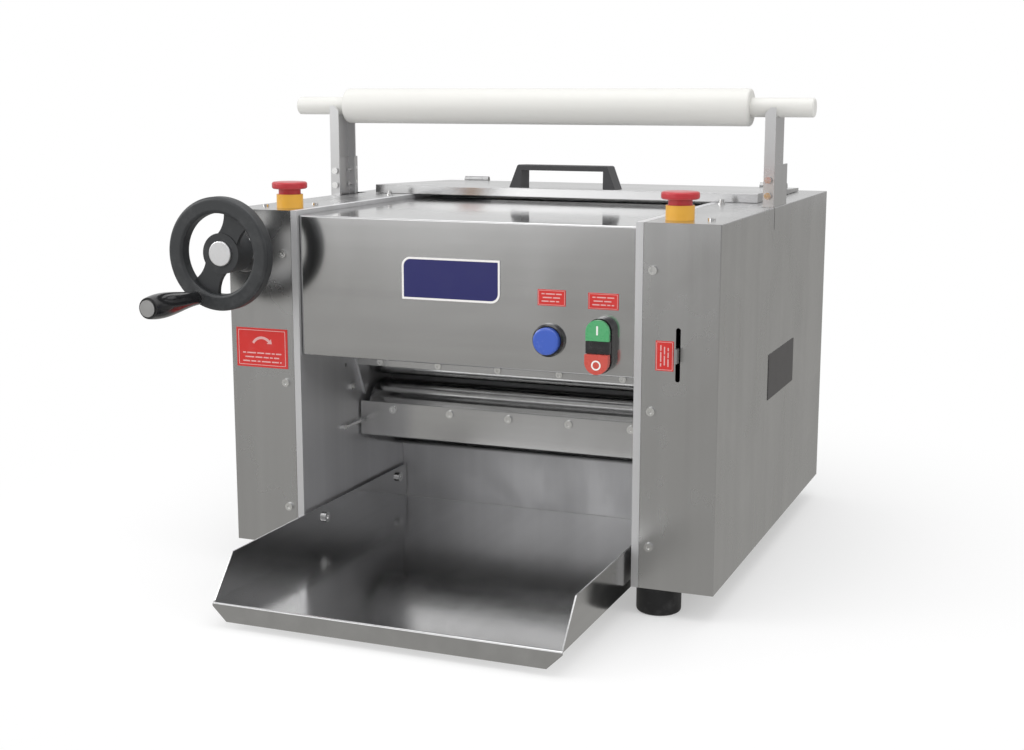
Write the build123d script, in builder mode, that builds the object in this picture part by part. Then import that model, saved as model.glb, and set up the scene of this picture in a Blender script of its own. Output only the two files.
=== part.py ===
from build123d import *
from math import acos, cos, hypot, pi, radians, sin, tan
import os

os.makedirs("parts", exist_ok=True)

# Bench dough sheeter. +X is the machine's right as the operator faces it, +Y runs to
# the rear, +Z is up. The origin lies on the bench, under the middle of the body.

# ------------------------------------------------------------ driving dimensions (mm)
INNER_WIDTH = 392.0          # clear width between the side plates
PLATE = 8.0                  # thickness of a side plate
COLUMN_WIDTH = 81.0          # side cover, from side plate to outer face
BODY_DEPTH = 560.0
COVER_HEIGHT = 385.0
FOOT_HEIGHT = 30.0
FOOT_DIAMETER = 48.0
SHEET = 1.5                  # stainless sheet of covers, hood, lid and tray
BEND = 1.2                   # bend radius of sheet, at its middle
SEAT = 0.3                   # gap between neighbouring covers
RUN = 0.05                   # radial clearance of a running fit
FIXED = 0.02                 # radial clearance of a fixed fit

HOOD_HEIGHT = 157.0
HOOD_DROP = 5.0              # hood top below the cover tops
HOOD_SETBACK = 5.0           # hood face behind the column faces
HOOD_GAP = 1.3               # slit between hood and side plate
FEED_TABLE_DEPTH = 303.0     # hood top, from the hood face to the inlet

ROLLER_DIAMETER = 80.0
ROLLER_SHAFT = 25.0
ROLLER_SETBACK = 190.0       # roller axes behind the column faces
LOWER_ROLLER_RISE = 125.0    # lower roller axis above the cover bottoms
ROLLER_GAP = 6.5             # between the rollers at rest
GAP_TRAVEL = 6.0             # each way from rest
ROLLER_END_GAP = 6.0         # roller end to side plate

CROSS_SHAFT = 14.0
CROSS_SHAFT_DROP = 85.0      # cross shaft axis below the cover tops
CROSS_SHAFT_LEAD = 20.0      # cross shaft axis in front of the roller axes
GEAR_MODULE = 1.5
LIFT_TEETH = 16
POINTER_TEETH = 48
NUT_TEETH = 24
PRESSURE_ANGLE = 25.0
BACKLASH = 0.5

HANDWHEEL_DIAMETER = 125.0
HANDWHEEL_INSET = 23.0       # handwheel axis from the outer face of the left cover
HANDWHEEL_DROP = 45.0        # handwheel axis below the cover tops
HANDWHEEL_STANDOFF = 44.0    # back of the rim in front of the column face
RIM_THICK = 18.0
RIM_DEPTH = 17.0
RIM_ROUND = 4.0
SPOKE_THICK = 6.0
HUB_DIAMETER = 45.0
HUB_RECESS = 8.0             # hub face behind the front of the rim
WHEEL_SHAFT = 16.0
SCREW = 14.0
GRIP_LENGTH = 88.0
GRIP_PIN = 8.0
SPOKE_TURN = 62.0            # direction of the spokes, from +X towards +Z
GRIP_TURN = 61.0             # direction away from the grip
GRIP_R = 56.0

TRAY_REACH = 200.0           # tray floor in front of the column faces
TRAY_WIDTH = 384.0
TRAY_WALL = 43.0
TRAY_LIP = 19.0
TRAY_MITRE = 17.5
TRAY_CHAMFER = 40.0
TRAY_DEPTH = 457.5

LID_WIDTH = 502.0
LID_LEAD = 302.0             # lid lip behind the column faces
LID_LIP = 10.8
LID_REAR_MARGIN = 20.0
LID_REAR_RISE = 4.0
HANDLE_LENGTH = 140.0
HANDLE_TOP_LENGTH = 118.0
HANDLE_HEIGHT = 28.5
HANDLE_DEPTH = 28.0
HANDLE_BAR = 7.0
HANDLE_LEG = 16.0
HANDLE_SETBACK = 14.0

UPRIGHT_LEAD = 241.0         # front of the uprights behind the column faces
UPRIGHT_DEPTH = 45.0
UPRIGHT_FLANGE = 14.0
UPRIGHT_SHEET = 2.0
UPRIGHT_RISE = 112.0         # flange tops above the cover tops
CRADLE_DROP = 11.2           # cradle edge below the flange tops
PIN_SHAFT = 22.0
PIN_SHAFT_LENGTH = 660.0
PIN_SLEEVE = 43.0
PIN_SLEEVE_LENGTH = 518.0
PIN_OFFSET = -7.5

ESTOP_LEAD = 44.0
ESTOP_INSET = 55.5           # from the outer face of a side cover
ESTOP_HEAD = 40.0
ESTOP_COLLAR = 30.0
BUTTON_TRAVEL = 3.0

# ------------------------------------------------------------ derived places
IN = INNER_WIDTH / 2
OUT = IN + PLATE
HALF_W = OUT + COLUMN_WIDTH
FRONT = -BODY_DEPTH / 2
REAR = BODY_DEPTH / 2
FLOOR = FOOT_HEIGHT
TOP = FLOOR + COVER_HEIGHT
HOOD_FACE = FRONT + HOOD_SETBACK
HOOD_TOP = TOP - HOOD_DROP
HOOD_BOTTOM = HOOD_TOP - HOOD_HEIGHT
HOOD_REAR = HOOD_FACE + FEED_TABLE_DEPTH
HOOD_HALF = IN - HOOD_GAP
ROLLER_R = ROLLER_DIAMETER / 2
ROLLER_Y = FRONT + ROLLER_SETBACK
LOWER_Z = FLOOR + LOWER_ROLLER_RISE
UPPER_Z = LOWER_Z + ROLLER_DIAMETER + ROLLER_GAP
ROLLER_HALF = IN - ROLLER_END_GAP
SHAFT_R = ROLLER_SHAFT / 2
CROSS_R = CROSS_SHAFT / 2
CROSS_Y = ROLLER_Y - CROSS_SHAFT_LEAD
CROSS_Z = TOP - CROSS_SHAFT_DROP
WHEEL_X = -(HALF_W - HANDWHEEL_INSET)
WHEEL_Z = TOP - HANDWHEEL_DROP
RIM_BACK = FRONT - HANDWHEEL_STANDOFF
RIM_FRONT = RIM_BACK - RIM_DEPTH
HUB_FRONT = RIM_FRONT + HUB_RECESS
PIN_Y = FRONT + UPRIGHT_LEAD + UPRIGHT_DEPTH / 2
UPRIGHT_TOP = TOP + UPRIGHT_RISE
PIN_Z = UPRIGHT_TOP - CRADLE_DROP + PIN_SHAFT / 2
ESTOP_X = HALF_W - ESTOP_INSET
ESTOP_Y = FRONT + ESTOP_LEAD
COVER_SIDE = HALF_W - SHEET
COVER_IN = OUT + SEAT
SIDES = (-1, 1)


# ------------------------------------------------------------ small tools
def save(builder, node):
    """Label a finished piece and write it as one STEP file."""
    builder.part.label = node
    export_step(builder.part, f"parts/{node}.step")


def block(x_span, y_span, z_span, mode=Mode.ADD):
    """A box between two values on each axis, in the part being built."""
    middle = [(min(s) + max(s)) / 2 for s in (x_span, y_span, z_span)]
    size = [abs(s[1] - s[0]) for s in (x_span, y_span, z_span)]
    with Locations(tuple(middle)):
        Box(*size, mode=mode)


def rod_x(radius, x_span, y, z, mode=Mode.ADD):
    """A cylinder along X."""
    with Locations(((x_span[0] + x_span[1]) / 2, y, z)):
        Cylinder(radius, abs(x_span[1] - x_span[0]), rotation=(0, 90, 0), mode=mode)


def rod_y(radius, y_span, x, z, mode=Mode.ADD):
    """A cylinder along Y."""
    with Locations((x, (y_span[0] + y_span[1]) / 2, z)):
        Cylinder(radius, abs(y_span[1] - y_span[0]), rotation=(90, 0, 0), mode=mode)


def rod_z(radius, z_span, x, y, mode=Mode.ADD):
    """A cylinder along Z."""
    with Locations((x, y, (z_span[0] + z_span[1]) / 2)):
        Cylinder(radius, abs(z_span[1] - z_span[0]), mode=mode)


def side_plane(x):
    """A sketch plane square to X whose local x is +Y and local y is +Z."""
    return Plane(origin=(x, 0, 0), x_dir=(0, 1, 0), z_dir=(1, 0, 0))


def front_plane(y):
    """A sketch plane square to Y whose local x is +X, local y is +Z and normal is -Y."""
    return Plane(origin=(0, y, 0), x_dir=(1, 0, 0), z_dir=(0, -1, 0))


def pan_heads(points, head_r, head_h, shank_r, shank_l, face_y):
    """Pan-head screws that point to +Y, with a socket in each head."""
    for x, z in points:
        rod_y(head_r, (face_y - head_h, face_y), x, z)
        if shank_l > 0:
            rod_y(shank_r, (face_y - head_h / 2, face_y + shank_l), x, z)
        rod_y(head_r * 0.45, (face_y - head_h, face_y - head_h * 0.4), x, z, Mode.SUBTRACT)


def involute(angle):
    return tan(angle) - angle


def gear_points(teeth, turn=0.0):
    """Outline of an involute spur gear with stub teeth; turn places a tooth's middle."""
    pitch_r = GEAR_MODULE * teeth / 2
    base_r = pitch_r * cos(radians(PRESSURE_ANGLE))
    tip_r = pitch_r + 0.8 * GEAR_MODULE
    root_r = pitch_r - 1.1 * GEAR_MODULE
    start_r = max(base_r, root_r)
    half = pi / (2 * teeth) - BACKLASH / (4 * pitch_r)
    flank = []
    for step in range(5):
        r = start_r + (tip_r - start_r) * step / 4
        flank.append((r, half + involute(radians(PRESSURE_ANGLE)) - involute(acos(base_r / r))))
    flank.insert(0, (root_r - 0.01, flank[0][1]))
    points = []
    for tooth in range(teeth):
        middle = turn + 2 * pi * tooth / teeth
        points += [(r * cos(middle - a), r * sin(middle - a)) for r, a in flank]
        points += [(r * cos(middle + a), r * sin(middle + a)) for r, a in reversed(flank)]
    return points


def star_points(teeth, root_r, tip_r, root_half, tip_half, turn):
    """Outline of a star gear with long tapered teeth."""
    points = []
    for tooth in range(teeth):
        middle = turn + 2 * pi * tooth / teeth
        for r, w in ((root_r, -root_half), (tip_r, -tip_half), (tip_r, tip_half), (root_r, root_half)):
            points.append((r * cos(middle) - w * sin(middle), r * sin(middle) + w * cos(middle)))
    return points


def disc_profile(points, centre, x_span, bore_r):
    """A toothed disc square to X, with a bore, in the part being built."""
    with BuildSketch(side_plane(x_span[0])) as disc:
        with Locations(centre):
            Polygon(*points, align=None)
            Circle(bore_r, mode=Mode.SUBTRACT)
    extrude(disc.sketch, amount=x_span[1] - x_span[0])


def rack_points(length, depth, start=0.0):
    """Outline of a rack along local x with teeth towards +y; its pitch line is y = 0."""
    pitch = pi * GEAR_MODULE
    tip = 0.8 * GEAR_MODULE
    root = -1.1 * GEAR_MODULE
    lean = tan(radians(PRESSURE_ANGLE))
    half = pitch / 4 - BACKLASH / 4
    count = int((length / 2 - half - 2) / pitch)
    points = [(-length / 2, -depth), (-length / 2, root)]
    for k in range(-count, count):
        middle = start + (k + 0.5) * pitch
        points += [(middle - half + root * lean, root), (middle - half + tip * lean, tip)]
        points += [(middle + half - tip * lean, tip), (middle + half - root * lean, root)]
    return points + [(length / 2, root), (length / 2, -depth)]


# ------------------------------------------------------------ side plates
BEARING_R = 21.0
BUSH_R = 11.0
SLOT_HALF_W = SHAFT_R + 3.5
MOTOR_Y = REAR - 110.0
MOTOR_Z = FLOOR + 90.0
OUTPUT_R = 10.0
TRAY_BOLTS = ((FRONT + 39.0, FLOOR + 25.5), (FRONT + 233.0, FLOOR + 28.0))
PIVOT_Y = ROLLER_Y - ROLLER_R - 4.0
PIVOT_Z = LOWER_Z - 5.0
PEG_Y = PIVOT_Y - 52.0
TIE_RODS = (
    (FRONT + 300.0, FLOOR + 30.0),
    (REAR - 30.0, FLOOR + 30.0),
    (REAR - 30.0, TOP - 35.0),
    (FRONT + 130.0, TOP - 22.0),
)
TIE_R = 8.0
TIE_SPIGOT = 5.0
CHEEK_SCREWS = ((FRONT + 120.0, UPPER_Z - 45.5), (FRONT + 108.0, UPPER_Z - 17.5))
LUG_BORE_R = 4.0


def side_plate(side):
    plate_x = (side * IN, side * OUT)
    block(plate_x, (FRONT, REAR - SHEET - SEAT), (FLOOR, TOP))
    cut = (side * (IN - 1), side * (OUT + 1))
    rod_x(BEARING_R + FIXED, cut, ROLLER_Y, LOWER_Z, Mode.SUBTRACT)
    with BuildSketch(side_plane(min(cut))) as travel_slot:
        with Locations((ROLLER_Y, UPPER_Z)):
            SlotCenterToCenter(2 * GAP_TRAVEL + 6, 2 * SLOT_HALF_W, rotation=90)
    extrude(travel_slot.sketch, amount=PLATE + 2, mode=Mode.SUBTRACT)
    rod_x(BUSH_R + FIXED, cut, CROSS_Y, CROSS_Z, Mode.SUBTRACT)
    rod_x(LUG_BORE_R + FIXED, cut, PIVOT_Y, PIVOT_Z, Mode.SUBTRACT)
    rod_x(3 + FIXED, cut, PEG_Y, PIVOT_Z + 1.5, Mode.SUBTRACT)
    for y, z in TRAY_BOLTS:
        rod_x(3 + FIXED, cut, y, z, Mode.SUBTRACT)
    for y, z in TIE_RODS:
        rod_x(TIE_SPIGOT + FIXED, cut, y, z, Mode.SUBTRACT)
    for y, z in CHEEK_SCREWS:
        rod_x(2.42, cut, y, z, Mode.SUBTRACT)


with BuildPart() as side_plates:
    side_plate(-1)
    side_plate(1)
    rod_x(OUTPUT_R + 5, (-OUT - 1, -IN + 1), MOTOR_Y, MOTOR_Z, Mode.SUBTRACT)
save(side_plates, "side_plates")

with BuildPart() as tie_rods:
    for y, z in TIE_RODS:
        rod_x(TIE_R, (-IN, IN), y, z)
        rod_x(TIE_SPIGOT, (-OUT, OUT), y, z)
save(tie_rods, "tie_rods")

# ------------------------------------------------------------ base plates and feet
BASE = 3.0
FOOT_INSET = 24.1
FOOT_PLACES = [(s * (OUT + 16.0), y) for s in SIDES for y in (FRONT + FOOT_INSET, REAR - FOOT_INSET)]
STUD_R = 4.0

with BuildPart() as base_plates:
    for side in SIDES:
        block((side * COVER_IN, side * (COVER_SIDE - SEAT)), (FRONT + 2, REAR - 2), (FLOOR, FLOOR + BASE))
    block((-IN + SEAT, IN - SEAT), (FRONT + 270, REAR - 3.5), (FLOOR + 3, FLOOR + 3 + BASE))
    for x, y in FOOT_PLACES:
        rod_z(STUD_R + FIXED, (FLOOR - 1, FLOOR + BASE + 1), x, y, Mode.SUBTRACT)
save(base_plates, "base_plates")

with BuildPart() as feet:
    for x, y in FOOT_PLACES:
        with Locations((x, y, FOOT_HEIGHT / 2)):
            Cylinder(FOOT_DIAMETER / 2, FOOT_HEIGHT)
    fillet(feet.edges().filter_by(GeomType.CIRCLE).group_by(Axis.Z)[0], 4)
    fillet(feet.edges().filter_by(GeomType.CIRCLE).group_by(Axis.Z)[-1], 1.5)
    for x, y in FOOT_PLACES:
        rod_z(STUD_R + FIXED, (FOOT_HEIGHT / 2 - 3, FOOT_HEIGHT + 1), x, y, Mode.SUBTRACT)
save(feet, "feet")

# ------------------------------------------------------------ side covers
COLUMN_SCREW_X = OUT + 10.8
COLUMN_SCREW_Z = (FLOOR + 45.5, FLOOR + 190.5, TOP - 48.3)
POINTER_X = OUT + 38.5
SLOT_LOW = TOP - 162.0
SLOT_HIGH = TOP - 106.0
SLOT_WIDTH = 5.0
NOTCH_X = HALF_W - UPRIGHT_FLANGE - 2.0
UPRIGHT_Y = (FRONT + UPRIGHT_LEAD, FRONT + UPRIGHT_LEAD + UPRIGHT_DEPTH)
BRACKET_REAR = UPRIGHT_Y[1] + 24.0
NECK_HOLE_R = 9.0
BOSS_R = 14.0
GLAND_X = OUT + 40.0
GLAND_Z = FLOOR + 50.0
GLAND_THREAD_R = 8.0
TOP_SCREWS = ((OUT + 58.5, 46.0), (OUT + 18.5, 89.0))


def side_cover(side):
    outer = (side * COVER_IN, side * HALF_W)
    inner = (side * (COVER_IN - 1), side * COVER_SIDE)
    block(outer, (FRONT, REAR), (FLOOR, TOP))
    edges = side_cover_edges(side)
    fillet(edges, 1.2)
    block(inner, (FRONT + SHEET, REAR - SHEET), (FLOOR - 1, TOP - SHEET), Mode.SUBTRACT)
    for z in COLUMN_SCREW_Z:
        rod_y(2 + FIXED, (FRONT - 1, FRONT + 3), side * COLUMN_SCREW_X, z, Mode.SUBTRACT)
    for x, y in TOP_SCREWS:
        rod_z(2 + FIXED, (TOP - 4, TOP + 1), side * x, FRONT + y, Mode.SUBTRACT)
    rod_z(NECK_HOLE_R, (TOP - 4, TOP + 1), side * ESTOP_X, ESTOP_Y, Mode.SUBTRACT)
    notch_y = (UPRIGHT_Y[0] - 1, BRACKET_REAR + 1)
    block((side * NOTCH_X, side * COVER_SIDE), notch_y, (TOP - 4, TOP + 1), Mode.SUBTRACT)
    slit_y = (UPRIGHT_Y[0] - 1, UPRIGHT_Y[0] + 1)
    block((side * NOTCH_X, side * (HALF_W + 1)), slit_y, (TOP - 25, TOP + 1), Mode.SUBTRACT)


def side_cover_edges(side):
    """The upright and top edges of the folded sheet along the outer side."""
    builder = BuildPart._get_context()
    along_z = builder.edges().filter_by(Axis.Z).sort_by(Axis.X)
    along_y = builder.edges().filter_by(Axis.Y).group_by(Axis.Z)[-1].sort_by(Axis.X)
    outer_z = along_z[-2:] if side > 0 else along_z[:2]
    outer_y = along_y[-1:] if side > 0 else along_y[:1]
    return outer_z + outer_y


with BuildPart() as side_cover_left:
    side_cover(-1)
    rod_y(BOSS_R + 0.3, (FRONT - 1, FRONT + 3), WHEEL_X, WHEEL_Z, Mode.SUBTRACT)
save(side_cover_left, "side_cover_left")

with BuildPart() as side_cover_right:
    side_cover(1)
    with BuildSketch(front_plane(FRONT + 3)):
        with Locations((POINTER_X, (SLOT_LOW + SLOT_HIGH) / 2)):
            SlotOverall(SLOT_HIGH - SLOT_LOW, SLOT_WIDTH, rotation=90)
    extrude(amount=5, mode=Mode.SUBTRACT)
    rod_y(GLAND_THREAD_R + FIXED, (REAR - 3, REAR + 1), GLAND_X, GLAND_Z, Mode.SUBTRACT)
save(side_cover_right, "side_cover_right")

with BuildPart() as cable_gland:
    rod_y(GLAND_THREAD_R, (REAR - 12, REAR + 4), GLAND_X, GLAND_Z)
    with BuildSketch(front_plane(REAR + 6)):
        with Locations((GLAND_X, GLAND_Z)):
            RegularPolygon(12, 6)
    extrude(amount=6)
    with BuildSketch(front_plane(REAR - SHEET)):
        with Locations((GLAND_X, GLAND_Z)):
            RegularPolygon(12, 6)
    extrude(amount=5)
    rod_y(9.5, (REAR + 4, REAR + 14), GLAND_X, GLAND_Z)
    chamfer(cable_gland.edges().filter_by(GeomType.CIRCLE).group_by(Axis.Y)[-1], 2.5)
    rod_y(5, (REAR - 13, REAR + 15), GLAND_X, GLAND_Z, Mode.SUBTRACT)
save(cable_gland, "cable_gland")

# ------------------------------------------------------------ hood, back panel, rear cover
SCRAPER_Y = ROLLER_Y - ROLLER_R - 40.0
RESET_X = 101.0
RESET_Z = HOOD_TOP - 122.5
TWIN_X = 160.0
TWIN_Z = HOOD_TOP - 124.0
TWIN_STEM_R = 4.0
TWIN_STEM_RISE = 18.0
PLUNGER_R = 6.0
HOOD_RETURN = SCRAPER_Y + 4.0
RETURN_SCREW_X = (-150.0, -75.0, 0.0, 75.0, 150.0)

with BuildPart() as hood:
    with BuildSketch(side_plane(-HOOD_HALF)):
        with BuildLine():
            FilletPolyline(
                (HOOD_RETURN, HOOD_BOTTOM + SHEET / 2),
                (HOOD_FACE + SHEET / 2, HOOD_BOTTOM + SHEET / 2),
                (HOOD_FACE + SHEET / 2, HOOD_TOP - SHEET / 2),
                (HOOD_REAR - SHEET / 2, HOOD_TOP - SHEET / 2),
                (HOOD_REAR - SHEET / 2, HOOD_TOP - 12),
                radius=BEND,
            )
            offset(amount=SHEET / 2, side=Side.BOTH)
        make_face()
    extrude(amount=2 * HOOD_HALF)
    rod_y(PLUNGER_R + 0.4, (HOOD_FACE - 1, HOOD_FACE + 3), RESET_X, RESET_Z, Mode.SUBTRACT)
    for rise in (-TWIN_STEM_RISE, TWIN_STEM_RISE):
        rod_y(TWIN_STEM_R + 0.4, (HOOD_FACE - 1, HOOD_FACE + 3), TWIN_X, TWIN_Z + rise, Mode.SUBTRACT)
save(hood, "hood")

BACK_PANEL_Y = FRONT + 259.0
INLET_DEPTH = 42.0
REAR_PANEL_Y = REAR - 3.3
with BuildPart() as rear_cover:
    with BuildSketch(side_plane(-IN + SEAT)):
        with BuildLine():
            FilletPolyline(
                (REAR_PANEL_Y - SHEET / 2, FLOOR + 7),
                (REAR_PANEL_Y - SHEET / 2, HOOD_TOP - SHEET / 2),
                (HOOD_REAR + INLET_DEPTH, HOOD_TOP - SHEET / 2),
                radius=BEND,
            )
            offset(amount=SHEET / 2, side=Side.BOTH)
        make_face()
    extrude(amount=2 * (IN - SEAT))
    with BuildSketch(front_plane(REAR_PANEL_Y + 1)):
        with Locations((0, FLOOR + 120)):
            with GridLocations(120, 14, 3, 6):
                SlotOverall(80, 5)
    extrude(amount=4, mode=Mode.SUBTRACT)
save(rear_cover, "rear_cover")


# ------------------------------------------------------------ dough chutes
def sheet_between(start, end, x_half, thick):
    """A flat sheet across the machine between two (y, z) points."""
    run = hypot(end[0] - start[0], end[1] - start[1])
    ny = -(end[1] - start[1]) / run * thick / 2
    nz = (end[0] - start[0]) / run * thick / 2
    corners = [
        (start[0] + ny, start[1] + nz),
        (end[0] + ny, end[1] + nz),
        (end[0] - ny, end[1] - nz),
        (start[0] - ny, start[1] - nz),
    ]
    with BuildSketch(side_plane(-x_half)) as section:
        Polygon(*corners, align=None)
    extrude(section.sketch, amount=2 * x_half)


CHUTE_HALF = IN - 2.0
CHUTE_LOW = (ROLLER_Y + (ROLLER_R + 5) * 0.7, LOWER_Z + (ROLLER_R + 5) * 0.714)
CHUTE_HIGH = (HOOD_REAR + INLET_DEPTH - 3.0, HOOD_TOP - 4.0)
APRON_LOW = (ROLLER_Y + ROLLER_R - 8, UPPER_Z + ROLLER_R + 4.0)
APRON_HIGH = (HOOD_REAR - 4.0, HOOD_TOP - 14.0)

with BuildPart() as inner_panels:
    sheet_between(CHUTE_LOW, CHUTE_HIGH, CHUTE_HALF, SHEET)
    sheet_between(APRON_LOW, APRON_HIGH, CHUTE_HALF, SHEET)
    panel_y = (BACK_PANEL_Y, BACK_PANEL_Y + SHEET)
    block((-IN + SEAT, IN - SEAT), panel_y, (FLOOR - 4, LOWER_Z + 26))
save(inner_panels, "inner_panels")

# ------------------------------------------------------------ tray
TRAY_HALF = TRAY_WIDTH / 2
TRAY_FRONT = FRONT - TRAY_REACH
TRAY_REAR = TRAY_FRONT + TRAY_DEPTH
TRAY_FLOOR = FLOOR - 3.0
TRAY_TOP = TRAY_FLOOR + TRAY_WALL

with BuildPart() as tray:
    with BuildSketch(side_plane(-TRAY_HALF)):
        with BuildLine():
            FilletPolyline(
                (TRAY_REAR, TRAY_FLOOR - SHEET / 2),
                (TRAY_FRONT + SHEET / 2, TRAY_FLOOR - SHEET / 2),
                (TRAY_FRONT + SHEET / 2, TRAY_FLOOR - TRAY_LIP),
                radius=BEND,
            )
            offset(amount=SHEET / 2, side=Side.BOTH)
        make_face()
    extrude(amount=TRAY_WIDTH)
    for side in SIDES:
        with BuildSketch(front_plane(TRAY_FRONT + 5)):
            Polygon(
                (side * (TRAY_HALF + 1), TRAY_FLOOR - 3),
                (side * (TRAY_HALF + 1), TRAY_FLOOR - TRAY_LIP - 2),
                (side * (TRAY_HALF - TRAY_MITRE), TRAY_FLOOR - TRAY_LIP - 2),
                align=None,
            )
        extrude(amount=8, mode=Mode.SUBTRACT)
        wall_x = -TRAY_HALF if side < 0 else TRAY_HALF - SHEET
        with BuildSketch(side_plane(wall_x)):
            Polygon(
                (TRAY_REAR, TRAY_FLOOR - SHEET),
                (TRAY_REAR, TRAY_TOP),
                (TRAY_FRONT + TRAY_CHAMFER, TRAY_TOP),
                (TRAY_FRONT + 3, TRAY_FLOOR + 1),
                (TRAY_FRONT + 3, TRAY_FLOOR - SHEET),
                align=None,
            )
        extrude(amount=SHEET)
    for y, z in TRAY_BOLTS:
        rod_x(3 + FIXED, (-IN, IN), y, z, Mode.SUBTRACT)
save(tray, "tray")

# ------------------------------------------------------------ rollers, bearings, gears
FLANGE_R = 30.0
FLANGE_T = 6.0
GEAR_X = (OUT + 18.5, OUT + 31.0)
PULLEY_X = (-OUT - 36.0, -OUT - 20.0)
STAR_TEETH = 12
STAR_TIP = (ROLLER_DIAMETER + ROLLER_GAP + GAP_TRAVEL + 4.5) / 2
STAR_ROOT = ROLLER_DIAMETER + ROLLER_GAP - GAP_TRAVEL - STAR_TIP - 0.8


def roller(z):
    """A smooth roller with a shaft that runs through both side plates."""
    rod_x(ROLLER_R, (-ROLLER_HALF, ROLLER_HALF), ROLLER_Y, z)
    ends = [e for e in BuildPart._get_context().edges().filter_by(GeomType.CIRCLE)]
    fillet(ends, 1.5)


with BuildPart() as lower_roller:
    roller(LOWER_Z)
    rod_x(SHAFT_R, (PULLEY_X[0] - 2, GEAR_X[1] + 2), ROLLER_Y, LOWER_Z)
save(lower_roller, "lower_roller")

with BuildPart() as upper_roller:
    roller(UPPER_Z)
    rod_x(SHAFT_R, (-OUT - 15, GEAR_X[1] + 2), ROLLER_Y, UPPER_Z)
save(upper_roller, "upper_roller")

with BuildPart() as frame_bearings:
    for side in SIDES:
        plate_x = (side * IN, side * OUT)
        rod_x(BEARING_R, plate_x, ROLLER_Y, LOWER_Z)
        rod_x(FLANGE_R, (side * OUT, side * (OUT + FLANGE_T)), ROLLER_Y, LOWER_Z)
        rod_x(SHAFT_R + RUN, (side * (IN - 1), side * (OUT + FLANGE_T + 1)), ROLLER_Y, LOWER_Z, Mode.SUBTRACT)
        rod_x(BUSH_R, plate_x, CROSS_Y, CROSS_Z)
        rod_x(CROSS_R + RUN, (side * (IN - 1), side * (OUT + 1)), CROSS_Y, CROSS_Z, Mode.SUBTRACT)
save(frame_bearings, "frame_bearings")


def star_gear(z, turn):
    """A long-toothed gear on a roller shaft."""
    points = star_points(STAR_TEETH, STAR_ROOT, STAR_TIP, 5.4, 2.0, turn)
    disc_profile(points, (ROLLER_Y, z), GEAR_X, SHAFT_R + FIXED)


with BuildPart() as upper_gear:
    star_gear(UPPER_Z, radians(90) + pi / STAR_TEETH)
save(upper_gear, "upper_gear")

# ------------------------------------------------------------ sliding carriages
CARRIAGE_HALF_Y = 25.0
CARRIAGE_HALF_Z = 30.0
CARRIAGE_X = (OUT + 2.0, OUT + 14.0)
GUIDE_W = 10.0
GUIDE_GAP = 0.1
RACK_BACK = 10.0
LIFT_R = GEAR_MODULE * LIFT_TEETH / 2
RACK_PITCH_Y = CROSS_Y + LIFT_R
RACK_LENGTH = 2 * (GAP_TRAVEL + 18.0)


def side_rack(x_span, pitch_y, z_middle, length, depth, facing):
    """A vertical rack whose teeth point along Y, towards -Y when facing is -1."""
    across = (0, 0, 1) if facing > 0 else (0, 0, -1)
    plane = Plane(origin=(x_span[0], pitch_y, z_middle), x_dir=across, z_dir=(-1, 0, 0))
    with BuildSketch(plane) as teeth:
        Polygon(*rack_points(length, depth), align=None)
    extrude(teeth.sketch, amount=-(x_span[1] - x_span[0]))


with BuildPart() as roller_carriages:
    for side in SIDES:
        span = (side * CARRIAGE_X[0], side * CARRIAGE_X[1])
        y_span = (ROLLER_Y - CARRIAGE_HALF_Y, ROLLER_Y + CARRIAGE_HALF_Y)
        block(span, y_span, (UPPER_Z - CARRIAGE_HALF_Z, UPPER_Z + CARRIAGE_HALF_Z))
        bar_z = (UPPER_Z + CARRIAGE_HALF_Z, CROSS_Z + RACK_LENGTH / 2)
        block(span, (RACK_PITCH_Y + 2.5, RACK_PITCH_Y + RACK_BACK), bar_z)
        side_rack(sorted(span), RACK_PITCH_Y, CROSS_Z, RACK_LENGTH, 3.0, -1)
        rod_x(BEARING_R + FIXED, (side * OUT, side * (OUT + 16)), ROLLER_Y, UPPER_Z, Mode.SUBTRACT)
        rod_x(BEARING_R, span, ROLLER_Y, UPPER_Z)
        rod_x(SHAFT_R + RUN, (side * OUT, side * (OUT + 16)), ROLLER_Y, UPPER_Z, Mode.SUBTRACT)
save(roller_carriages, "roller_carriages")

# ------------------------------------------------------------ cross shaft and its pinions
POINTER_R = GEAR_MODULE * POINTER_TEETH / 2
NUT_R = GEAR_MODULE * NUT_TEETH / 2
POINTER_GEAR_X = (POINTER_X - 3.0, POINTER_X + 3.0)
NUT_GEAR_X = (WHEEL_X - 5.0, WHEEL_X + 5.0)

with BuildPart() as cross_shaft:
    rod_x(CROSS_R, (NUT_GEAR_X[0] - 4, POINTER_GEAR_X[1] + 4), CROSS_Y, CROSS_Z)
save(cross_shaft, "cross_shaft")

with BuildPart() as cross_shaft_pinions:
    for side in SIDES:
        span = sorted((side * CARRIAGE_X[0], side * CARRIAGE_X[1]))
        disc_profile(gear_points(LIFT_TEETH), (CROSS_Y, CROSS_Z), span, CROSS_R + FIXED)
    disc_profile(gear_points(POINTER_TEETH), (CROSS_Y, CROSS_Z), POINTER_GEAR_X, CROSS_R + FIXED)
    disc_profile(gear_points(NUT_TEETH), (CROSS_Y, CROSS_Z), NUT_GEAR_X, CROSS_R + FIXED)
save(cross_shaft_pinions, "cross_shaft_pinions")

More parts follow.
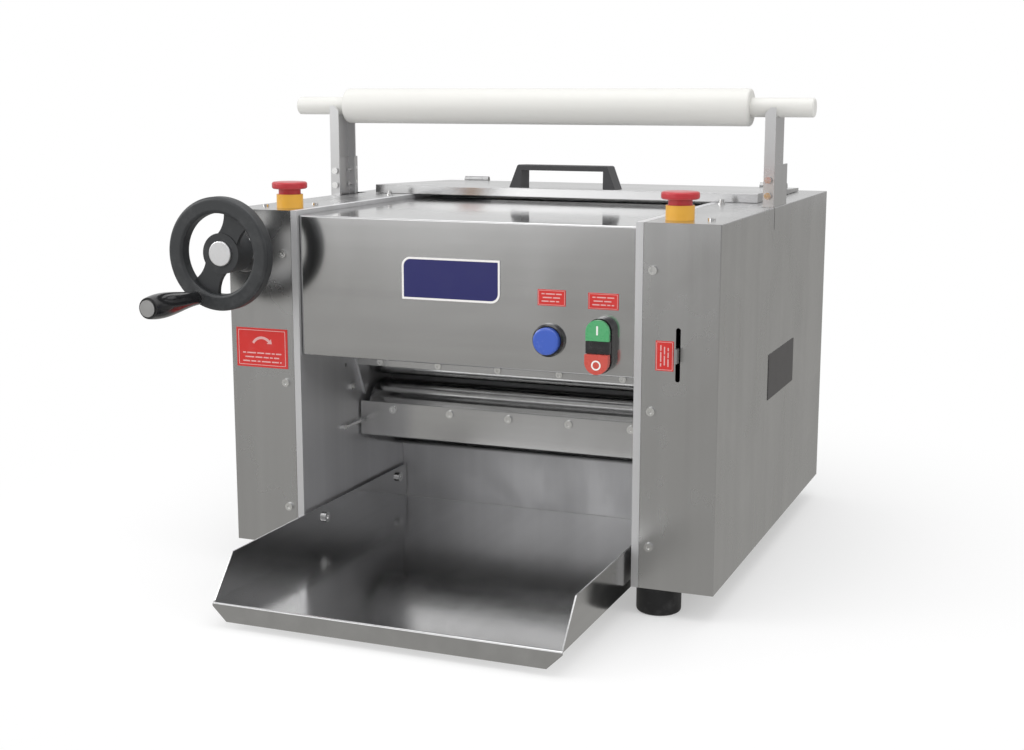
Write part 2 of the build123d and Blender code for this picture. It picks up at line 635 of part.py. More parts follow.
# ------------------------------------------------------------ thickness pointer
SLIDER_Y = CROSS_Y - POINTER_R
POINTER_TRAVEL = GAP_TRAVEL * POINTER_TEETH / LIFT_TEETH
POINTER_Z = (SLOT_LOW + SLOT_HIGH) / 2
BAR_X = (POINTER_X - 3.0, POINTER_X + 3.0)
ARM_X = (POINTER_X - 1.5, POINTER_X + 1.5)
TAB_OUT = 10.0
BAR_BACK = 12.0
BAR_LENGTH = 2 * (POINTER_TRAVEL + 22.0)
RAIL_GAP = 0.3
RAIL_T = 3.0
RAIL_Y = (SLIDER_Y - 24.0, SLIDER_Y - 4.0)
RAIL_LOW = min(CROSS_Z - BAR_LENGTH / 2, POINTER_Z - 6) - POINTER_TRAVEL - 4
RAIL_HIGH = CROSS_Z + BAR_LENGTH / 2 + POINTER_TRAVEL + 4

with BuildPart() as pointer_slider:
    side_rack(BAR_X, SLIDER_Y, CROSS_Z, BAR_LENGTH, BAR_BACK, 1)
    block(BAR_X, (SLIDER_Y - BAR_BACK, SLIDER_Y - 3), (POINTER_Z - 5, CROSS_Z))
    block(ARM_X, (FRONT - TAB_OUT, SLIDER_Y - BAR_BACK + 1), (POINTER_Z - 4, POINTER_Z + 4))
    block(ARM_X, (FRONT - TAB_OUT, FRONT - 0.6), (POINTER_Z - 7.5, POINTER_Z + 7.5))
save(pointer_slider, "pointer_slider")

# ------------------------------------------------------------ handwheel and lead screw
SCREW_START = FRONT + 120.0
SCREW_END = CROSS_Y + 62.0
NUT_HALF = 30.0
NUT_TRAVEL = GAP_TRAVEL * NUT_TEETH / LIFT_TEETH
HUB_REAR = RIM_BACK + 22.0
CAP_R = 14.0
CAP_T = 2.5
BOSS_FLANGE_R = 25.0
BOSS_FLANGE_T = 5.0
GRIP_NECK_R = 8.0
GRIP_END_R = 11.4
GRIP_DISC_R = 9.0
GRIP_START = RIM_FRONT - 3.3
GRIP_END = RIM_FRONT - GRIP_LENGTH - 3.1
SPOKE_ROOT = (14.0, 14.5)      # along and across a spoke's edge, at the hub
SPOKE_WAIST = (31.0, 12.5)     # where it is narrowest
SPOKE_TIP = (48.0, 21.0)       # where it meets the rim


def wheel_plane(y, turn=0.0):
    """A plane square to the handwheel's axis, facing the operator, turned from +X towards +Z."""
    along = (cos(radians(turn)), 0, sin(radians(turn)))
    return Plane(origin=(WHEEL_X, y, WHEEL_Z), x_dir=along, z_dir=(0, -1, 0))


def spoke_point(point, side):
    """A point of a spoke's edge on one side of its middle line."""
    return (point[0], side * point[1])


with BuildPart() as handwheel:
    with BuildSketch(wheel_plane(RIM_BACK)):
        Circle(HANDWHEEL_DIAMETER / 2)
        Circle(HANDWHEEL_DIAMETER / 2 - RIM_THICK, mode=Mode.SUBTRACT)
    extrude(amount=RIM_DEPTH)
    fillet(handwheel.edges().filter_by(GeomType.CIRCLE), RIM_ROUND)
    for turn in (0, 180):
        with BuildSketch(wheel_plane(RIM_BACK - 2, SPOKE_TURN + turn)):
            with BuildLine():
                Line(spoke_point(SPOKE_ROOT, -1), spoke_point(SPOKE_ROOT, 1))
                for side in (-1, 1):
                    edge = [spoke_point(point, side) for point in (SPOKE_ROOT, SPOKE_WAIST, SPOKE_TIP)]
                    ThreePointArc(*edge)
                Line(spoke_point(SPOKE_TIP, -1), spoke_point(SPOKE_TIP, 1))
            make_face()
        extrude(amount=SPOKE_THICK)
    rod_y(HUB_DIAMETER / 2, (HUB_FRONT, HUB_REAR), WHEEL_X, WHEEL_Z)
    rod_y(WHEEL_SHAFT / 2 + FIXED, (HUB_FRONT + 4, HUB_REAR + 1), WHEEL_X, WHEEL_Z, Mode.SUBTRACT)
    grip_x = WHEEL_X - GRIP_R * cos(radians(GRIP_TURN))
    grip_z = WHEEL_Z - GRIP_R * sin(radians(GRIP_TURN))
    rod_y(GRIP_PIN / 2 + FIXED, (RIM_FRONT - 1, RIM_BACK + 1), grip_x, grip_z, Mode.SUBTRACT)
save(handwheel, "handwheel")

with BuildPart() as handwheel_cap:
    rod_y(CAP_R, (HUB_FRONT - CAP_T, HUB_FRONT), WHEEL_X, WHEEL_Z)
    fillet(handwheel_cap.edges().filter_by(GeomType.CIRCLE).group_by(Axis.Y)[0], 1.2)
save(handwheel_cap, "handwheel_cap")

with BuildPart() as handwheel_shaft:
    rod_y(WHEEL_SHAFT / 2, (HUB_FRONT + 4.5, SCREW_START), WHEEL_X, WHEEL_Z)
    rod_y(SCREW / 2, (SCREW_START - 1, SCREW_END), WHEEL_X, WHEEL_Z)
    rod_y(GRIP_PIN / 2, (RIM_FRONT - GRIP_LENGTH - 4, RIM_BACK - 1), grip_x, grip_z)
    rod_y(GRIP_NECK_R, (GRIP_START + 0.3, RIM_FRONT), grip_x, grip_z)
    rod_y(GRIP_DISC_R, (GRIP_END - 2.3, GRIP_END - 0.3), grip_x, grip_z)
save(handwheel_shaft, "handwheel_shaft")

with BuildPart() as handwheel_boss:
    rod_y(BOSS_R, (HUB_REAR + 1, FRONT + 22), WHEEL_X, WHEEL_Z)
    rod_y(BOSS_FLANGE_R, (FRONT - BOSS_FLANGE_T, FRONT), WHEEL_X, WHEEL_Z)
    fillet(handwheel_boss.edges().filter_by(GeomType.CIRCLE).group_by(Axis.Y)[1], 1.0)
    rod_y(WHEEL_SHAFT / 2 + RUN, (RIM_BACK, FRONT + 23), WHEEL_X, WHEEL_Z, Mode.SUBTRACT)
save(handwheel_boss, "handwheel_boss")

with BuildPart() as crank_grip:
    bore_r = GRIP_PIN / 2 + RUN
    widest = (13.2, GRIP_END + 32)
    with BuildSketch(Plane(origin=(grip_x, 0, grip_z), x_dir=(1, 0, 0), z_dir=(0, 0, 1))):
        with BuildLine():
            Line((bore_r, GRIP_START), (GRIP_NECK_R, GRIP_START))
            Spline((GRIP_NECK_R, GRIP_START), (9.4, GRIP_START - 20), widest, (GRIP_END_R, GRIP_END))
            Line((GRIP_END_R, GRIP_END), (bore_r, GRIP_END))
            Line((bore_r, GRIP_END), (bore_r, GRIP_START))
        make_face()
    revolve(axis=Axis((grip_x, 0, grip_z), (0, 1, 0)))
save(crank_grip, "crank_grip")

NUT_X = (WHEEL_X - 12.0, WHEEL_X + 12.0)
RACK_Z = CROSS_Z + NUT_R
with BuildPart() as screw_nut:
    block(NUT_X, (CROSS_Y - NUT_HALF, CROSS_Y + NUT_HALF), (RACK_Z + 8, WHEEL_Z + 12))
    plane = Plane(origin=(NUT_GEAR_X[0], CROSS_Y, RACK_Z), x_dir=(0, -1, 0), z_dir=(1, 0, 0))
    with BuildSketch(plane):
        Polygon(*rack_points(2 * NUT_HALF, 9.0), align=None)
    extrude(amount=NUT_GEAR_X[1] - NUT_GEAR_X[0])
    rod_y(SCREW / 2 + RUN, (CROSS_Y - NUT_HALF - 1, CROSS_Y + NUT_HALF + 1), WHEEL_X, WHEEL_Z, Mode.SUBTRACT)
save(screw_nut, "screw_nut")

# ------------------------------------------------------------ guides of the sliding pieces
with BuildPart() as slide_guides:
    reach = CARRIAGE_HALF_Z + GAP_TRAVEL + 8
    for side in SIDES:
        for face in SIDES:
            inner = ROLLER_Y + face * (CARRIAGE_HALF_Y + GUIDE_GAP)
            outer = inner + face * GUIDE_W
            z_span = (UPPER_Z - reach, UPPER_Z + reach)
            block((side * OUT, side * (OUT + 14.3)), (inner, outer), z_span)
            lip_x = (side * (OUT + 14.3), side * (OUT + 17.8))
            block(lip_x, (inner - face * 4, outer), z_span)
    for face in SIDES:
        near = POINTER_X + face * (3.0 + RAIL_GAP)
        block((near, near + face * RAIL_T), RAIL_Y, (RAIL_LOW, RAIL_HIGH))
    wide = (POINTER_X - 3 - RAIL_GAP - RAIL_T, POINTER_X + 3 + RAIL_GAP + RAIL_T)
    for z in ((RAIL_LOW - 4, RAIL_LOW), (RAIL_HIGH, RAIL_HIGH + 4)):
        block((OUT, wide[1]), RAIL_Y, z)
    guide_y = (CROSS_Y - NUT_HALF - NUT_TRAVEL, CROSS_Y + NUT_HALF + NUT_TRAVEL)
    guide_z = WHEEL_Z + 12.3
    block((NUT_X[0] - 4, -OUT), guide_y, (guide_z, guide_z + 4))
    for edge in ((NUT_X[0] - 4, NUT_X[0] - 0.3), (NUT_X[1] + 0.3, NUT_X[1] + 4)):
        block(edge, guide_y, (guide_z - 8, guide_z))
    block((WHEEL_X - 16, -OUT), (SCREW_END - 12, SCREW_END - 0.3), (WHEEL_Z - 16, WHEEL_Z + 16))
    rod_y(SCREW / 2 + RUN, (SCREW_END - 13, SCREW_END + 1), WHEEL_X, WHEEL_Z, Mode.SUBTRACT)
save(slide_guides, "slide_guides")

# ------------------------------------------------------------ scrapers and cheeks
FACE_Y = ROLLER_Y - ROLLER_R - 10.0
FACE_SHEET = 2.0
SCRAPER_HALF = IN - 2.3
HOLDER_LOW = LOWER_Z - 22.0
HOLDER_HIGH = LOWER_Z + 20.0
SCREW_Z = LOWER_Z + 12.0
TIP_ANGLE = radians(147)
TIP_R = ROLLER_R + 0.7
BLADE_TIP = (ROLLER_Y + TIP_R * cos(TIP_ANGLE), LOWER_Z + TIP_R * sin(TIP_ANGLE))
BLADE_FOOT = LOWER_Z + 4.0

with BuildPart() as lower_scraper_holder:
    block((-SCRAPER_HALF, SCRAPER_HALF), (FACE_Y, FACE_Y + FACE_SHEET), (HOLDER_LOW, HOLDER_HIGH))
    block((-SCRAPER_HALF, SCRAPER_HALF), (FACE_Y, FACE_Y + 9), (HOLDER_LOW, HOLDER_LOW + FACE_SHEET))
    long_edges = lower_scraper_holder.edges().filter_by(Axis.X)
    fillet([e for e in long_edges if e.center().Y < FACE_Y + 0.1 and e.center().Z < LOWER_Z], 1.6)
    for side in SIDES:
        lug_x = (side * (ROLLER_HALF + 0.8), side * SCRAPER_HALF)
        block(lug_x, (FACE_Y + 1, FACE_Y + 13), (PIVOT_Z - 9, PIVOT_Z + 9))
        rod_x(LUG_BORE_R + RUN, (side * ROLLER_HALF, side * IN), PIVOT_Y, PIVOT_Z, Mode.SUBTRACT)
    for x in RETURN_SCREW_X:
        rod_y(2 + FIXED, (FACE_Y - 1, FACE_Y + 4), x, SCREW_Z, Mode.SUBTRACT)
save(lower_scraper_holder, "lower_scraper_holder")

with BuildPart() as lower_scraper_blade:
    back = FACE_Y + FACE_SHEET
    blade_t = 1.2
    blade_half = ROLLER_HALF - 5
    with BuildSketch(side_plane(-blade_half)):
        Polygon(
            (back, BLADE_FOOT),
            (back, HOLDER_HIGH - 5),
            (BLADE_TIP[0] - 1.0, BLADE_TIP[1] + 0.9),
            (BLADE_TIP[0], BLADE_TIP[1]),
            (back + blade_t, HOLDER_HIGH - 6.2),
            (back + blade_t, BLADE_FOOT),
            align=None,
        )
    extrude(amount=2 * blade_half)
    for x in RETURN_SCREW_X:
        rod_y(2 + FIXED, (back - 1, back + 4), x, SCREW_Z, Mode.SUBTRACT)
save(lower_scraper_blade, "lower_scraper_blade")

with BuildPart() as lower_scraper_screws:
    pan_heads([(x, SCREW_Z) for x in RETURN_SCREW_X], 4.6, 2.4, 2, 4.5, FACE_Y)
save(lower_scraper_screws, "lower_scraper_screws")

with BuildPart() as scraper_pivots:
    for side in SIDES:
        rod_x(LUG_BORE_R, (side * (ROLLER_HALF + 0.4), side * OUT), PIVOT_Y, PIVOT_Z)
        rod_x(5.5, (side * (SCRAPER_HALF + 0.4), side * IN), PIVOT_Y, PIVOT_Z)
        rod_x(3, (side * (IN - 6), side * OUT), PEG_Y, PIVOT_Z + 1.5)
save(scraper_pivots, "scraper_pivots")

with BuildPart() as scraper_springs:
    for side in SIDES:
        spring_x = side * (IN - 4.0)
        rod_y(2.2, (PEG_Y + 9, PIVOT_Y - 14), spring_x, PIVOT_Z + 1)
        rod_y(0.6, (PEG_Y + 3.2, FACE_Y - 0.6), spring_x, PIVOT_Z + 1)
save(scraper_springs, "scraper_springs")

UPPER_TIP_Y = ROLLER_Y - ROLLER_R - 0.8
UPPER_LOW = HOOD_BOTTOM - 27.0
UPPER_HALF = IN - 16.0
with BuildPart() as upper_scraper:
    block((-UPPER_HALF, UPPER_HALF), (SCRAPER_Y - 2, SCRAPER_Y), (UPPER_LOW, HOOD_BOTTOM - SEAT))
    flange_z = (HOOD_BOTTOM - SEAT - 2, HOOD_BOTTOM - SEAT)
    block((-UPPER_HALF, UPPER_HALF), (SCRAPER_Y - 24, SCRAPER_Y), flange_z)
    with BuildSketch(side_plane(-UPPER_HALF)):
        Polygon(
            (SCRAPER_Y, UPPER_LOW),
            (SCRAPER_Y, UPPER_LOW + 3),
            (UPPER_TIP_Y, UPPER_Z + 1),
            (UPPER_TIP_Y, UPPER_Z - 0.6),
            align=None,
        )
    extrude(amount=2 * UPPER_HALF)
save(upper_scraper, "upper_scraper")

CHEEK_T = 3.6
with BuildPart() as side_cheeks:
    for side in SIDES:
        start = IN - SEAT - CHEEK_T if side > 0 else -IN + SEAT
        with BuildSketch(side_plane(start)):
            Polygon(
                (ROLLER_Y - ROLLER_R - 24, UPPER_Z - 9.5),
                (ROLLER_Y - ROLLER_R + 1, LOWER_Z + 24),
                (ROLLER_Y - 22, UPPER_Z - 9.5),
                align=None,
            )
        extrude(amount=CHEEK_T)
    fillet(side_cheeks.edges().filter_by(Axis.X), 1.5)
save(side_cheeks, "side_cheeks")

# ------------------------------------------------------------ drive
ROLLER_GROOVE = 52.0
MOTOR_GROOVE = 32.0
FLANGE_RISE = 8.0
BELT_T = 5.5
BELT_GAP = 0.3
BELT_X = (PULLEY_X[0] + 3.0, PULLEY_X[1] - 3.0)


def pulley(centre, groove_r, bore_r):
    """A flat-grooved belt pulley square to X."""
    y, z = centre
    with BuildSketch(Plane(origin=(0, y, z), x_dir=(1, 0, 0), z_dir=(0, -1, 0))) as section:
        Polygon(
            (PULLEY_X[0], bore_r),
            (PULLEY_X[0], groove_r + FLANGE_RISE),
            (BELT_X[0] - 0.5, groove_r + FLANGE_RISE),
            (BELT_X[0] - 0.5, groove_r),
            (BELT_X[1] + 0.5, groove_r),
            (BELT_X[1] + 0.5, groove_r + FLANGE_RISE),
            (PULLEY_X[1], groove_r + FLANGE_RISE),
            (PULLEY_X[1], bore_r),
            align=None,
        )
    revolve(section.sketch, axis=Axis((0, y, z), (1, 0, 0)))


with BuildPart() as lower_roller_wheels:
    star_gear(LOWER_Z, radians(90))
    pulley((ROLLER_Y, LOWER_Z), ROLLER_GROOVE, SHAFT_R + FIXED)
save(lower_roller_wheels, "lower_roller_wheels")


def belt_loop(x_span, extra, mode=Mode.ADD):
    """The hull of both pulley grooves, grown outwards, between two values of X."""
    with BuildSketch(side_plane(x_span[0])) as loop:
        with BuildLine():
            CenterArc((ROLLER_Y, LOWER_Z), ROLLER_GROOVE + extra, 0, 360)
            CenterArc((MOTOR_Y, MOTOR_Z), MOTOR_GROOVE + extra, 0, 360)
        make_hull()
    extrude(loop.sketch, amount=x_span[1] - x_span[0], mode=mode)


with BuildPart() as drive_belt:
    belt_loop(BELT_X, BELT_GAP + BELT_T)
    belt_loop((BELT_X[0] - 1, BELT_X[1] + 1), BELT_GAP, Mode.SUBTRACT)
save(drive_belt, "drive_belt")

GEARBOX_X = (-IN + 14.0, -IN + 144.0)
MOTOR_R = 58.0
MOTOR_LENGTH = 190.0
MOUNT_Z = FLOOR + 3 + BASE

with BuildPart() as gearmotor:
    block(GEARBOX_X, (MOTOR_Y - 55, MOTOR_Y + 55), (MOUNT_Z, MOTOR_Z + 55))
    fillet(gearmotor.edges().filter_by(Axis.X).group_by(Axis.Z)[-1], 12)
    rod_x(OUTPUT_R + RUN, (GEARBOX_X[0] - 1, GEARBOX_X[0] + 60), MOTOR_Y, MOTOR_Z, Mode.SUBTRACT)
    motor_x = (GEARBOX_X[1] + SEAT, GEARBOX_X[1] + MOTOR_LENGTH)
    rod_x(MOTOR_R, motor_x, MOTOR_Y, MOTOR_Z)
    rod_x(MOTOR_R - 4, (motor_x[1], motor_x[1] + 14), MOTOR_Y, MOTOR_Z)
    block((motor_x[0] + 20, motor_x[1] - 20), (MOTOR_Y - 40, MOTOR_Y + 40), (MOUNT_Z, MOTOR_Z - 40))
save(gearmotor, "gearmotor")

with BuildPart() as motor_output:
    rod_x(OUTPUT_R, (PULLEY_X[0] - 3, GEARBOX_X[0] + 59), MOTOR_Y, MOTOR_Z)
    pulley((MOTOR_Y, MOTOR_Z), MOTOR_GROOVE, OUTPUT_R + FIXED)
save(motor_output, "motor_output")

with BuildPart() as control_box:
    block((OUT + 2, HALF_W - 12), (MOTOR_Y - 70, MOTOR_Y + 50), (FLOOR + 150, FLOOR + 300))
    fillet(control_box.edges().filter_by(Axis.Z), 4)
save(control_box, "control_box")

# ------------------------------------------------------------ lid
LID_HALF = LID_WIDTH / 2
LID_FRONT = FRONT + LID_LEAD
LID_REAR = REAR - LID_REAR_MARGIN
LID_LOW = TOP + 0.5
LID_TOP = LID_LOW + LID_LIP
HINGE_Y = REAR - 8.0
HINGE_Z = TOP + 5.2
HINGE_R = 4.5
HINGE_PIN_R = 2.0
HINGE_X = 215.0
LID_SLOPE_END = LID_LOW + LID_REAR_RISE

with BuildPart() as lid:
    with BuildSketch(side_plane(-LID_HALF)):
        Polygon(
            (LID_FRONT, LID_LOW),
            (LID_FRONT, LID_TOP),
            (LID_REAR, LID_SLOPE_END),
            (LID_REAR, LID_LOW),
            align=None,
        )
    extrude(amount=LID_WIDTH)
    with BuildSketch(side_plane(-LID_HALF + SHEET)):
        Polygon(
            (LID_FRONT + SHEET, LID_LOW - 1),
            (LID_FRONT + SHEET, LID_TOP - SHEET),
            (LID_REAR - SHEET, LID_SLOPE_END - SHEET),
            (LID_REAR - SHEET, LID_LOW - 1),
            align=None,
        )
    extrude(amount=LID_WIDTH - 2 * SHEET, mode=Mode.SUBTRACT)
    fillet(lid.edges().filter_by(Axis.X).group_by(Axis.Y)[0].sort_by(Axis.Z)[-1], 1.2)
save(lid, "lid")

SLOPE_RUN = LID_REAR - LID_FRONT
SLOPE_DROP = LID_TOP - LID_SLOPE_END
SLOPE_LENGTH = hypot(SLOPE_RUN, SLOPE_DROP)
lid_plane = Plane(
    origin=(0, LID_FRONT, LID_TOP + 0.02),
    x_dir=(1, 0, 0),
    z_dir=(0, SLOPE_DROP / SLOPE_LENGTH, SLOPE_RUN / SLOPE_LENGTH),
)
handle_plane = Plane(
    origin=lid_plane.from_local_coords((0, HANDLE_SETBACK + HANDLE_DEPTH, 0)),
    x_dir=(1, 0, 0),
    z_dir=(0, -SLOPE_RUN / SLOPE_LENGTH, SLOPE_DROP / SLOPE_LENGTH),
)

with BuildPart() as lid_handle:
    low = HANDLE_LENGTH / 2
    high = HANDLE_TOP_LENGTH / 2
    with BuildSketch(handle_plane):
        Polygon((-low, 0), (-high, HANDLE_HEIGHT), (high, HANDLE_HEIGHT), (low, 0), align=None)
        inner = low - HANDLE_LEG
        with Locations((0, (HANDLE_HEIGHT - HANDLE_BAR) / 2 - 0.5)):
            Rectangle(2 * inner, HANDLE_HEIGHT - HANDLE_BAR + 1, mode=Mode.SUBTRACT)
    extrude(amount=HANDLE_DEPTH)
    fillet(lid_handle.faces().sort_by(Axis.Z)[-1].edges(), 2.5)
save(lid_handle, "lid_handle")

with BuildPart() as lid_hinge_leaves:
    for side in SIDES:
        rod_x(HINGE_R, (side * (HINGE_X - 9.7), side * (HINGE_X + 9.7)), HINGE_Y, HINGE_Z)
        leaf_x = (side * (HINGE_X - 9.7), side * (HINGE_X + 9.7))
        block(leaf_x, (LID_REAR + 0.1, HINGE_Y), (HINGE_Z - 4.4, HINGE_Z - 2.4))
        bore_x = (side * (HINGE_X - 11), side * (HINGE_X + 11))
        rod_x(HINGE_PIN_R + RUN, bore_x, HINGE_Y, HINGE_Z, Mode.SUBTRACT)
save(lid_hinge_leaves, "lid_hinge_leaves")

with BuildPart() as lid_hinge_blocks:
    for side in SIDES:
        for face in SIDES:
            near = side * HINGE_X + face * 10
            span = (near, near + face * 8)
            rod_x(HINGE_R, span, HINGE_Y, HINGE_Z)
            block(span, (HINGE_Y - HINGE_R, HINGE_Y + HINGE_R), (TOP, HINGE_Z))
        hinge_span = (side * (HINGE_X - 20), side * (HINGE_X + 20))
        rod_x(HINGE_PIN_R + FIXED, hinge_span, HINGE_Y, HINGE_Z, Mode.SUBTRACT)
        rod_x(HINGE_PIN_R, (side * (HINGE_X - 18), side * (HINGE_X + 18)), HINGE_Y, HINGE_Z)
save(lid_hinge_blocks, "lid_hinge_blocks")

# ------------------------------------------------------------ uprights and rolling pin
UPRIGHT_LOW = TOP - 35.0
UPRIGHT_X = COVER_SIDE - 0.2
BRACKET_TOP = TOP + 47.0
UPRIGHT_BOLTS_Z = (TOP + 31.0, TOP + 13.0)
UPRIGHT_BOLT_X = HALF_W - 8.5


def upright(side):
    """A U-channel that opens towards the middle of the machine."""
    flange_x = (side * (HALF_W - UPRIGHT_FLANGE), side * UPRIGHT_X)
    for y in (UPRIGHT_Y[0], UPRIGHT_Y[1] - UPRIGHT_SHEET):
        block(flange_x, (y, y + UPRIGHT_SHEET), (UPRIGHT_LOW, UPRIGHT_TOP))
    web_x = (side * (UPRIGHT_X - UPRIGHT_SHEET), side * UPRIGHT_X)
    block(web_x, UPRIGHT_Y, (UPRIGHT_LOW, UPRIGHT_TOP - CRADLE_DROP))
    for z in UPRIGHT_BOLTS_Z:
        bolt_span = (UPRIGHT_Y[0] - 1, UPRIGHT_Y[1] + 1)
        rod_y(2 + FIXED, bolt_span, side * UPRIGHT_BOLT_X, z, Mode.SUBTRACT)
    notch = (side * (HALF_W - UPRIGHT_FLANGE), side * (HALF_W - UPRIGHT_FLANGE + 6))
    with BuildSketch(front_plane(UPRIGHT_Y[1] + 1)) as corner:
        Polygon(
            (notch[0] - side, UPRIGHT_TOP + 1),
            (notch[1] + side, UPRIGHT_TOP + 1),
            (notch[0] - side, UPRIGHT_TOP - 7),
            align=None,
        )
    extrude(corner.sketch, amount=UPRIGHT_DEPTH + 2, mode=Mode.SUBTRACT)


def upright_bracket(side):
    """The inner channel that carries an upright inside the column."""
    web = side * (UPRIGHT_X - UPRIGHT_SHEET - 0.1)
    inner_y = (UPRIGHT_Y[0] + UPRIGHT_SHEET + 0.1, UPRIGHT_Y[1] - UPRIGHT_SHEET - 0.1)
    low = UPRIGHT_LOW - 20
    block((web, web - side * 2), inner_y, (low, BRACKET_TOP))
    for y in (inner_y[0], inner_y[1] - 2):
        block((web, side * (HALF_W - UPRIGHT_FLANGE)), (y, y + 2), (low, BRACKET_TOP))
    outer = (side * (UPRIGHT_X - 2), side * UPRIGHT_X)
    block(outer, (UPRIGHT_Y[1] + 0.1, BRACKET_REAR), (low, BRACKET_TOP))
    block(outer, (inner_y[0], BRACKET_REAR), (low, UPRIGHT_LOW - 0.3))
    block((web - side * 2, side * UPRIGHT_X), inner_y, (low, UPRIGHT_LOW - 0.3))
    block((side * OUT, web), inner_y, (low, low + 3))
    for z in UPRIGHT_BOLTS_Z:
        rod_y(2 + FIXED, (UPRIGHT_Y[0], UPRIGHT_Y[1] + 2), side * UPRIGHT_BOLT_X, z, Mode.SUBTRACT)


with BuildPart() as uprights:
    for side in SIDES:
        upright(side)
        upright_bracket(side)
save(uprights, "uprights")

with BuildPart() as pin_shaft:
    half = PIN_SHAFT_LENGTH / 2
    rod_x(PIN_SHAFT / 2, (PIN_OFFSET - half, PIN_OFFSET + half), PIN_Y, PIN_Z)
    chamfer(pin_shaft.edges().filter_by(GeomType.CIRCLE), 1.5)
save(pin_shaft, "pin_shaft")

with BuildPart() as pin_sleeve:
    half = PIN_SLEEVE_LENGTH / 2
    rod_x(PIN_SLEEVE / 2, (PIN_OFFSET - 1.5 - half, PIN_OFFSET - 1.5 + half), PIN_Y, PIN_Z)
    fillet(pin_sleeve.edges().filter_by(GeomType.CIRCLE), 3)
    rod_x(PIN_SHAFT / 2 + RUN, (PIN_OFFSET - half - 5, PIN_OFFSET + half + 5), PIN_Y, PIN_Z, Mode.SUBTRACT)
save(pin_sleeve, "pin_sleeve")

# ------------------------------------------------------------ emergency stops
COLLAR_TOP = TOP + 15.0
HEAD_LOW = COLLAR_TOP + 6.0
HEAD_TOP = HEAD_LOW + 8.0
NECK_R = 12.5
STEM_R = 6.0

with BuildPart() as estop_collars:
    for side in SIDES:
        rod_z(ESTOP_COLLAR / 2, (TOP, COLLAR_TOP), side * ESTOP_X, ESTOP_Y)
        rod_z(NECK_R + 0.3, (TOP + 1.5, COLLAR_TOP + 1), side * ESTOP_X, ESTOP_Y, Mode.SUBTRACT)
        rod_z(STEM_R + 0.3, (TOP - 1, TOP + 3), side * ESTOP_X, ESTOP_Y, Mode.SUBTRACT)
save(estop_collars, "estop_collars")


def estop_stem(side):
    rod_z(STEM_R, (TOP - 22, HEAD_LOW), side * ESTOP_X, ESTOP_Y)


def estop_head(side):
    """A mushroom head on a neck, with a blind bore for the stem."""
    rod_z(NECK_R, (TOP + 7, HEAD_LOW + 1), side * ESTOP_X, ESTOP_Y)
    rod_z(ESTOP_HEAD / 2, (HEAD_LOW, HEAD_TOP), side * ESTOP_X, ESTOP_Y)
    rims = BuildPart._get_context().edges().filter_by(GeomType.CIRCLE)
    fillet([e for e in rims if e.radius > NECK_R + 1], 2.5)
    rod_z(STEM_R + RUN, (TOP + 6, HEAD_LOW + 0.5), side * ESTOP_X, ESTOP_Y, Mode.SUBTRACT)


with BuildPart() as estop_left_stem:
    estop_stem(-1)
save(estop_left_stem, "estop_left_stem")

with BuildPart() as estop_right_stem:
    estop_stem(1)
save(estop_right_stem, "estop_right_stem")

with BuildPart() as estop_left_head:
    estop_head(-1)
save(estop_left_head, "estop_left_head")

with BuildPart() as estop_right_head:
    estop_head(1)
save(estop_right_head, "estop_right_head")

# ------------------------------------------------------------ push buttons
RESET_R = 14.5
RESET_FRONT = HOOD_FACE - 13.0
BEZEL_R = 17.5
BEZEL_T = 6.0
BEZEL_FLOOR = 1.5

with BuildPart() as reset_button:
    rod_y(RESET_R, (RESET_FRONT, HOOD_FACE - 5), RESET_X, RESET_Z)
    fillet(reset_button.edges().filter_by(GeomType.CIRCLE).group_by(Axis.Y)[0], 2.5)
    rod_y(PLUNGER_R, (HOOD_FACE - 6, HOOD_FACE + 9), RESET_X, RESET_Z)
save(reset_button, "reset_button")

TWIN_W = 26.0
TWIN_H = 57.0
TWIN_BODY = 10.0
CAP_BACK = HOOD_FACE - TWIN_BODY - BUTTON_TRAVEL - 0.5


def twin_slot(y, depth, margin=0.0):
    """The rounded outline that the twin switch's pieces share."""
    with BuildSketch(front_plane(y)) as outline:
        with Locations((TWIN_X, TWIN_Z)):
            SlotOverall(TWIN_H - 2 * margin, TWIN_W - 2 * margin, rotation=90)
    extrude(outline.sketch, amount=depth)


with BuildPart() as button_bezels:
    rod_y(BEZEL_R, (HOOD_FACE - BEZEL_T, HOOD_FACE), RESET_X, RESET_Z)
    chamfer(button_bezels.edges().filter_by(GeomType.CIRCLE).group_by(Axis.Y)[0], 1.5)
    rod_y(RESET_R + 0.4, (RESET_FRONT, HOOD_FACE - BEZEL_FLOOR), RESET_X, RESET_Z, Mode.SUBTRACT)
    rod_y(PLUNGER_R + 0.3, (HOOD_FACE - 2, HOOD_FACE + 1), RESET_X, RESET_Z, Mode.SUBTRACT)
    twin_slot(HOOD_FACE, TWIN_BODY, -0.5)
    stem_y = (HOOD_FACE - TWIN_BODY - 2, HOOD_FACE + 1)
    for rise in (-TWIN_STEM_RISE, TWIN_STEM_RISE):
        rod_y(TWIN_STEM_R + 0.3, stem_y, TWIN_X, TWIN_Z + rise, Mode.SUBTRACT)
    lens_x = (TWIN_X - TWIN_W / 2, TWIN_X + TWIN_W / 2)
    lens_y = (HOOD_FACE - TWIN_BODY - 6.5, HOOD_FACE - TWIN_BODY - RUN)
    block(lens_x, lens_y, (TWIN_Z - 7, TWIN_Z + 6))
save(button_bezels, "button_bezels")


